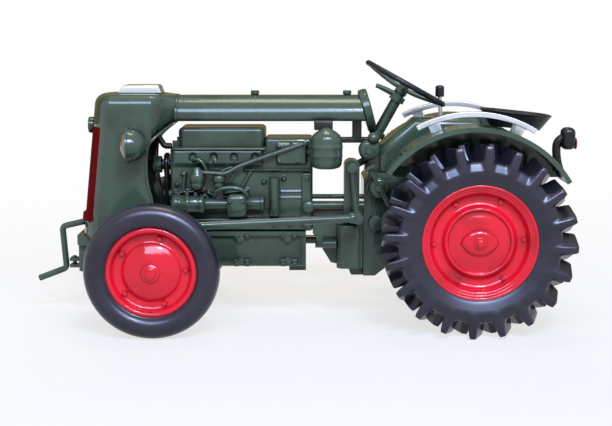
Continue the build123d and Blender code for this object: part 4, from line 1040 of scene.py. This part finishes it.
    def cleaner(self) -> None:
        """Air cleaner turned with shallow bands and a cone top, its elbow, and the dark bracket above it."""
        body = [(0.0, 0.0), (1.6, 0.04), (2.2, 0.28), (2.46, 0.7), (2.54, 1.3), (2.57, 1.95), (2.63, 2.05),
                (2.63, 2.25), (2.58, 2.35), (2.6, 3.3), (2.66, 3.42), (2.66, 3.62), (2.6, 3.74), (2.52, 4.5),
                (2.42, 5.05), (2.2, 5.42), (1.6, 5.92), (0.9, 6.34), (0.4, 6.58), (0.0, 6.62)]
        sheets = [turned(body, 40, (-23.35, -8.0, 25.18), UP),
                  tube([(-23.6, -7.4, 27.6), (-24.6, -5.6, 27.6), (-26.6, -4.4, 27.6)], 0.8)]
        self.shop.piece("air_cleaner_can", sheets, Slot.GREEN, replaces=("air_cleaner",))
        bracket = soft_box((-25.3, -7.4, 31.3), (-22.3, -2.6, 32.75), 0.2)
        self.shop.piece("air_cleaner_bracket", [bracket], Slot.BLACK, smooth_deg=40.0)

    def fan_drive(self) -> None:
        """Sleeve on the fan's shaft, and the belt: an oval carried round two pulleys and their tangents."""
        sleeve = [(0.8, 0.0), (1.3, 0.04), (1.55, 0.2), (1.55, 0.55), (1.4, 0.65), (1.4, 1.5), (1.2, 1.62),
                  (0.8, 1.64)]
        sheets = [turned(sleeve, 28, (-52.2, 0, self.fan_z), BACKWARD)]
        self.shop.piece("fan_shaft_sleeve", sheets, Slot.GREEN)
        angle = np.linspace(0.0, TURN, 65)[:, None]
        bead = np.linspace(0.0, TURN, 9)[None, :]
        half = (self.fan_z - self.crank_z) / 2
        reach = self.pulley_r + self.belt_clear + self.belt_half_h * np.cos(bead)
        y = np.cos(angle) * reach
        pulley = np.clip(np.sin(angle) * self.belt_snap, -1, 1)
        z = pulley * half + np.sin(angle) * reach + self.crank_z + half
        x = self.belt_x + self.belt_half_w * np.sin(bead) + np.zeros_like(y)
        self.shop.piece("fan_belt", [np.stack([x, y, z], axis=-1)], Slot.BLACK, smooth_deg=60.0)

    def pan_lugs(self) -> None:
        """Upright bolt lugs in pairs along the pan's flanges, each with a bolt head."""
        sheets = []
        wide, tall = self.lug_half
        for z, x, side in product(self.pan_lug_z, self.pan_lug_x, Side):
            face = side.value * self.pan_face
            near, far = sorted((face, face * self.lug_reach))
            sheets.append(soft_box((x - wide, near, z - tall), (x + wide, far, z + tall), self.lug_edge))
            sheets.append(dome((x, face * self.lug_bolt_at, z), (0, side.value, 0), 0.36, 0.32))
        self.shop.piece("oil_pan_lugs", sheets, Slot.GREEN)

    def linkage(self) -> None:
        """Bosses, the cross shaft behind the engine and the ball joints of the steering gear."""
        boss = [(0.0, 1.5), (0.75, 1.45), (1.0, 1.2), (1.06, 0.9), (1.06, 0.0)]
        drum = [(0.0, 2.4), (0.5, 2.4), (0.6, 2.1), (1.2, 2.05), (1.55, 1.85), (1.65, 1.5), (1.65, 0.0)]
        ball = [(0.0, -0.95), (0.55, -0.78), (0.9, -0.3), (0.95, 0.1), (0.75, 0.6), (0.4, 0.88), (0.0, 0.95)]
        sheets = [turned(boss, 24, (-26.2, -5.0, 18.7), LEFTWARD),
                  tube([(-25.6, -5.9, 19.0), (-17.2, -5.9, 19.0)], 0.46),
                  turned(drum, 32, (-14.9, -5.2, 21.9), LEFTWARD),
                  turned(drum, 32, (-16.4, -3.2, 27.8), LEFTWARD),
                  turned(ball, 20, (-15.7, -5.2, 29.85), UP),
                  turned(ball, 20, (-19.25, -11.2, 17.7), LEFTWARD)]
        self.shop.piece("linkage_bosses", sheets, Slot.GREEN)


@dataclass
class Nose:
    """Rolled edges of the radiator shell."""

    shop: Workshop
    edge_r: float = 0.26

    def build(self) -> None:
        """Make the rolled edge at the back of each side."""
        back = np.array([
            (-48.3, 4.4, 32.1), (-49.8, 5.65, 31.0), (-51.3, 6.85, 29.75), (-52.1, 6.95, 28.6),
            (-52.35, 6.95, 26.5), (-52.35, 6.95, 24.0), (-52.05, 6.95, 21.8), (-51.45, 6.95, 19.8),
            (-51.4, 6.95, 15.0)])
        sheets = [tube(back * (1, side.value, 1), self.edge_r, 10) for side in Side]
        self.shop.piece("radiator_shell_edges", sheets, Slot.GREEN, smooth_deg=60.0)


@dataclass
class FuelTank:
    """Long tank with a domed top and bowed flanks, and the bead where the shell's neck meets it."""

    shop: Workshop
    front: float = -47.85
    rear: float = -17.2
    high: float = 36.6
    top_r: float = 4.3
    flank_r: float = 3.0
    low_r: float = 0.7
    flank_deg: float = 40.0
    end_tilt_deg: float = 15.5
    end_z: float = 33.8
    bead_rise: float = 0.22
    bead_half_w: float = 0.36
    bead_sunk: float = 0.04

    def build(self) -> None:
        """Make the tank and its bead."""
        self.shop.piece("fuel_tank_pressing", [self.shell()], Slot.GREEN, replaces=("fuel_tank",))
        self.shop.piece("fuel_tank_bead", [self.bead()], Slot.GREEN, smooth_deg=60.0)

    def section(self) -> tuple[np.ndarray, np.ndarray]:
        """Section across the tank: a broad arc on top, closer arcs down the flanks, small lower corners.

        Returns:
            Points (y, z) round the section with the first repeated, and the outward direction at each.
        """
        lean = math.radians(self.flank_deg)
        turn = np.concatenate([np.linspace(math.pi / 2, lean, 9), np.linspace(lean, 0.0, 9),
                               np.linspace(0.0, -math.pi / 2, 7)])
        out = np.stack([np.cos(turn), np.sin(turn)], axis=-1)
        step = out[9] * (self.top_r - self.flank_r)
        middle = np.array([0.0, self.high - self.top_r])
        low = middle + step + (self.flank_r - self.low_r, 0.0)
        centre = np.repeat([middle, middle + step, low], [9, 9, 7], axis=0)
        half = centre + np.repeat([self.top_r, self.flank_r, self.low_r], [9, 9, 7])[:, None] * out
        points = np.concatenate([half, half[::-1] * (-1, 1), half[:1]])
        return points, np.concatenate([out, out[::-1] * (-1, 1), out[:1]])

    def shell(self) -> np.ndarray:
        """Carry the section along x to a leaning end, and close both ends at a point.

        Returns:
            Grid of points.
        """
        points, _ = self.section()
        share = np.linspace(0.0, 1.0, 6)[:, None]
        end = self.rear - (points[:, 1] - self.end_z) * math.tan(math.radians(self.end_tilt_deg))
        x = self.front + share * (end - self.front)[None, :]
        grid = np.stack([x, *(np.broadcast_to(points[:, i], x.shape) for i in (0, 1))], axis=-1)
        caps = np.ones_like(grid[:1]) * grid[[0, -1]].mean(axis=1, keepdims=True)
        return np.concatenate([caps[:1], grid, caps[1:]])

    def bead(self) -> np.ndarray:
        """Rounded bead round the tank's section: a small oval carried round it.

        Returns:
            Grid of points.
        """
        points, out = self.section()
        turn = np.linspace(0.0, TURN, 11)[None, :]
        rise = self.bead_rise * np.cos(turn) - self.bead_sunk
        y, z = (points[:, i:i + 1] + out[:, i:i + 1] * rise for i in (0, 1))
        return np.stack([self.front + self.bead_half_w * np.sin(turn) + np.zeros_like(y), y, z], axis=-1)


@dataclass
class SteeringWheel:
    """Hand wheel: a black moulded rim on a dished green spider."""

    shop: Workshop
    foot: Triple = (-15.1, 0.0, 29.5)
    tilt_deg: float = 29.0
    hub_at: float = 8.9
    dish: float = 1.3
    ring_r: float = 6.95
    rod_r: float = 0.55
    rod_flat: float = 0.85
    spokes: int = 4
    spoke_r: float = 0.4

    def build(self) -> None:
        """Make the rim, and the spider with the throttle lever below it."""
        lean = math.radians(self.tilt_deg)
        axis = (math.sin(lean), 0.0, math.cos(lean))
        bead = np.linspace(0.0, TURN, 15)
        section = np.stack([self.ring_r + self.rod_r * np.cos(bead),
                            self.hub_at + self.dish + self.rod_r * self.rod_flat * np.sin(bead)], axis=-1)
        self.shop.piece("steering_wheel_rim", [turned(section, 72, self.foot, axis)], Slot.PLASTIC,
                        replaces=("steering_wheel",), smooth_deg=60.0)
        hub = [(0.0, 0.9), (0.5, 0.86), (0.75, 0.7), (1.0, 0.6), (1.05, 0.2), (1.05, -0.6), (0.9, -0.7)]
        # One spoke runs out and up from the hub to the rim; a circle of angles makes the rest
        spoke = [(0.6, 0.35), (2.4, 0.45), (4.8, 0.85), (self.ring_r, self.dish)]
        paths = turned(np.array(spoke) + (0.0, self.hub_at), self.spokes, self.foot, axis)
        throttle = [(-11.9, 0.0, 36.8), (-13.3, 0.0, 37.5), (-15.0, 0.0, 38.1)]
        sheets = [turned(np.array(hub) + (0.0, self.hub_at), 24, self.foot, axis),
                  *(tube(paths[:, i], self.spoke_r, 10) for i in range(self.spokes)),
                  tube(throttle, 0.62, 12, flat=0.6)]
        self.shop.piece("steering_wheel_spider", sheets, Slot.GREEN, smooth_deg=60.0)


@dataclass
class RearLamp:
    """Tail lamp: a soft-edged housing on a bent arm at the left fender's end."""

    shop: Workshop
    across: float = -14.0
    half_w: float = 1.3
    front: float = 12.8
    rear: float = 14.9
    low: float = 28.9
    high: float = 32.3
    edge: float = 0.8
    arm_r: float = 0.66

    def build(self) -> None:
        """Make the housing, its arm and the arm's foot on the fender."""
        y = self.across
        path = [(13.0, y, 25.0), (12.4, y, 26.6), (12.1, y, 28.6), (12.2, y, 30.2), (13.7, y, 31.1)]
        low, high = (self.front, y - self.half_w, self.low), (self.rear, y + self.half_w, self.high)
        sheets = [soft_box(low, high, self.edge, 5), tube(path, self.arm_r, 16),
                  dome((12.75, y, 25.0), (0.75, 0, 0.66), 0.85, 0.5, 16)]
        self.shop.piece("rear_lamp_housing", sheets, Slot.PLASTIC, replaces=("rear_lamp",), smooth_deg=60.0)


@dataclass
class Castings:
    """The castings and pressings of the frame, with their edges rounded as a cast and painted edge is."""

    shop: Workshop
    edge_mm: float = 0.16
    fine_edge_mm: float = 0.06
    edge_steps: int = 2
    merge_mm: float = 0.001
    flat_deg: float = 0.4
    edge_deg: float = 35.0
    smooth_deg: float = 60.0
    fine: tuple[str, ...] = ("grille", "gear_lever", "footboards", "pedals", "fender_rails", "control_rods",
                             "cooling_fan", "fenders", "front_knuckles")

    def build(self) -> None:
        """Round and paint every node that no other class has made."""
        for name, slot in self.shop.home.items():
            if name not in self.shop.made:
                self.rounded(name, slot)

    def rounded(self, name: str, slot: Slot) -> None:
        """Copy a node with its edges rounded.

        Args:
            name: the node.
            slot: its finish.
        """
        mesh = frame["nodes"][name].data.copy()
        mesh.name = name + "_soft"
        thing = bpy.data.objects.new(mesh.name, mesh)
        bpy.context.scene.collection.objects.link(thing)
        close_mesh(mesh, self.merge_mm, self.flat_deg)
        width = self.fine_edge_mm if name in self.fine else self.edge_mm
        bevel = thing.modifiers.new("edge", "BEVEL")
        bevel.width, bevel.segments, bevel.limit_method = width * MM, self.edge_steps, "ANGLE"
        bevel.angle_limit = math.radians(self.edge_deg)
        bevel.use_clamp_overlap = bevel.harden_normals = True
        shade(mesh, self.smooth_deg)
        self.shop.finish_piece(thing, slot, body_of(name), (name,))


def body_of(node: str) -> str:
    """The body that a node rides on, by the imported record."""
    bodies = frame["record"]["behaviour"]["bodies"]
    return next(body for body, nodes in bodies.items() if node in nodes)


@dataclass(frozen=True)
class Lamp:
    """One soft rectangular light that points at the tractor; lengths in millimetres, power in watts."""

    name: str
    place: Triple
    size: Pair
    watts: float
    colour: str
    mirrored: bool = True
    target: Triple = (0.0, 0.0, 20.0)

    def hang(self) -> None:
        """Hang the light; glossy faces show it only if it is mirrored."""
        light = bpy.data.lights.new(self.name, "AREA")
        light.shape, light.energy, light.color = "RECTANGLE", self.watts, linear(self.colour)[:3]
        light.size, light.size_y = (s * MM for s in self.size)
        box = bpy.data.objects.new(self.name, light)
        place = np.array(self.place) * MM
        aim = np.array(self.target) * MM - place
        yaw = math.atan2(aim[1], aim[0]) - math.pi / 2
        box.visible_glossy = self.mirrored
        box.location = place
        box.rotation_euler = (math.acos(-aim[2] / np.linalg.norm(aim)), 0.0, yaw)
        bpy.context.scene.collection.objects.link(box)


def flat_sheet(name: str, corners_mm: Sequence[Triple], material: bpy.types.Material) -> bpy.types.Object:
    """Set up one flat four-cornered sheet.

    Args:
        name: the sheet's name.
        corners_mm: its corners in order.
        material: what it is made of.

    Returns:
        The sheet.
    """
    mesh = bpy.data.meshes.new(name)
    mesh.from_pydata((np.array(corners_mm) * MM).tolist(), [], [(0, 1, 2, 3)])
    mesh.materials.append(material)
    made = bpy.data.objects.new(name, mesh)
    bpy.context.scene.collection.objects.link(made)
    return made


@dataclass
class Studio:
    """Camera, soft lights, the pale floor and a warm card behind the tractor."""

    image_w_px: float = 612.0
    focal_px: float = 1173.0
    sensor_mm: float = 36.0
    ahead_of_rear_axle_mm: float = 26.6
    distance_mm: float = 194.9
    height_mm: float = 47.0
    pitch_deg: float = 8.82
    floor_half_mm: float = 900.0
    fibre_mm: float = 3.0
    # The floor keeps the shadow near the tractor and goes plain white further out
    near_mm: float = 60.0
    far_mm: float = 200.0
    near_white: float = 0.72
    room_light: float = 0.14
    card_half_mm: float = 700.0
    card_high_mm: float = 520.0
    card_back_mm: float = 330.0
    card_grain_mm: float = 40.0
    lamps: tuple[Lamp, ...] = (
        Lamp("window_softbox", (40, -340, 310), (440, 150), 3.2, "#bfd6ff"),
        Lamp("window_spark", (70, -300, 330), (60, 45), 0.9, "#e6efff"),
        Lamp("overhead_lamp", (20, 60, 420), (160, 120), 0.5, "#fff0c8"),
        Lamp("far_side_fill", (-60, 330, 230), (320, 200), 1.3, "#fff4e2", mirrored=False))

    def build(self) -> None:
        """Set up everything around the tractor."""
        self.camera()
        self.floor()
        self.world()
        self.card()
        for lamp in self.lamps:
            lamp.hang()

    def camera(self) -> None:
        """Stand the camera level across from the engine, pitched down a little."""
        low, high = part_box("rear_tyre_left")
        lens = bpy.data.cameras.new("camera")
        lens.sensor_width = self.sensor_mm
        lens.lens = self.focal_px / self.image_w_px * self.sensor_mm
        lens.clip_start, lens.clip_end = 0.01, 20.0
        stand = bpy.data.objects.new("camera", lens)
        along = (low.x + high.x) / 2 - self.ahead_of_rear_axle_mm * MM
        stand.location = (along, -self.distance_mm * MM, self.height_mm * MM)
        stand.rotation_euler = (math.radians(90.0 - self.pitch_deg), 0.0, 0.0)
        bpy.context.scene.collection.objects.link(stand)
        bpy.context.scene.camera = stand

    def floor(self) -> None:
        """Lay a pale sheet that shows white to the camera and keeps a faint shadow."""
        made, tree, place = new_tree("white_paper_sweep")
        tint = spread(tree, noise(tree, place, self.fibre_mm, 2.0), 0.5, 0.56)
        paper = add_node(tree, "ShaderNodeBsdfDiffuse", {"Color": tint})
        glow = add_node(tree, "ShaderNodeEmission", {"Color": linear("#ffffff"), "Strength": 1.0})
        away = add_node(tree, "ShaderNodeVectorMath", {0: place}, operation="LENGTH")
        share = add_node(tree, "ShaderNodeMapRange", {
            "Value": away.outputs["Value"], "From Min": self.near_mm * MM, "From Max": self.far_mm * MM,
            "To Min": self.near_white, "To Max": 1.0})
        factors = {0: self.shown(tree), 1: share.outputs[0]}
        seen = add_node(tree, "ShaderNodeMath", factors, operation="MULTIPLY")
        mix = add_node(tree, "ShaderNodeMixShader", {
            0: seen.outputs[0], 1: paper.outputs[0], 2: glow.outputs[0]})
        add_node(tree, "ShaderNodeOutputMaterial", {"Surface": mix.outputs[0]})
        half = self.floor_half_mm
        corners = [(-half, -half, 0), (half, -half, 0), (half, half, 0), (-half, half, 0)]
        sheet = flat_sheet("floor", corners, made)

    def shown(self, tree: Tree) -> Socket:
        """One for rays from the camera, a mirror or a lens, which see the white background; zero for others.

        Args:
            tree: the tree to add the nodes to.

        Returns:
            The socket that carries it.
        """
        path = add_node(tree, "ShaderNodeLightPath").outputs
        seen = path["Is Camera Ray"]
        for ray in ("Is Glossy Ray", "Is Transmission Ray"):
            seen = add_node(tree, "ShaderNodeMath", {0: seen, 1: path[ray]}, operation="MAXIMUM").outputs[0]
        return seen

    def card(self) -> None:
        """Stand a dim warm card behind the tractor; only its reflection shows, olive on the upper faces."""
        made, tree, place = new_tree("warm_grey_board")
        level = spread(tree, noise(tree, place, self.card_grain_mm, 2.0), 0.22, 0.3)
        glow = add_node(tree, "ShaderNodeEmission", {"Color": linear("#ffe6a8"), "Strength": level})
        add_node(tree, "ShaderNodeOutputMaterial", {"Surface": glow.outputs[0]})
        half, high, back = self.card_half_mm, self.card_high_mm, self.card_back_mm
        corners = [(-half, back, 0), (half, back, 0), (half, back, high), (-half, back, high)]
        board = flat_sheet("warm_card", corners, made)
        board.visible_camera = board.visible_shadow = board.visible_diffuse = False

    def world(self) -> None:
        """Light the room softly, and show white to the camera and to mirrors."""
        room = bpy.data.worlds.new("studio")
        bpy.context.scene.world = room
        room.use_nodes = True
        tree = room.node_tree
        tree.nodes.clear()
        level = spread(tree, self.shown(tree), self.room_light, 1.0)
        sky = add_node(tree, "ShaderNodeBackground", {"Color": linear("#ffffff"), "Strength": level})
        add_node(tree, "ShaderNodeOutputWorld", {"Surface": sky.outputs[0]})


def main() -> None:
    """Dress the tractor and set the studio."""
    logging.basicConfig(level=logging.INFO, format="%(name)s: %(message)s")
    bpy.context.scene.view_settings.view_transform = "Standard"
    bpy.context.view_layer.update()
    shop = Workshop()
    Studio().build()
    for side in Side:
        RearWheel(shop, Axle.REAR, side).build()
        FrontWheel(shop, Axle.FRONT, side).build()
    for assembly in (EngineBlock, EngineFittings, Nose, FuelTank, RearLamp, SteeringWheel, Castings):
        assembly(shop).build()
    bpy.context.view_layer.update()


if __name__ == "__main__":
    main()
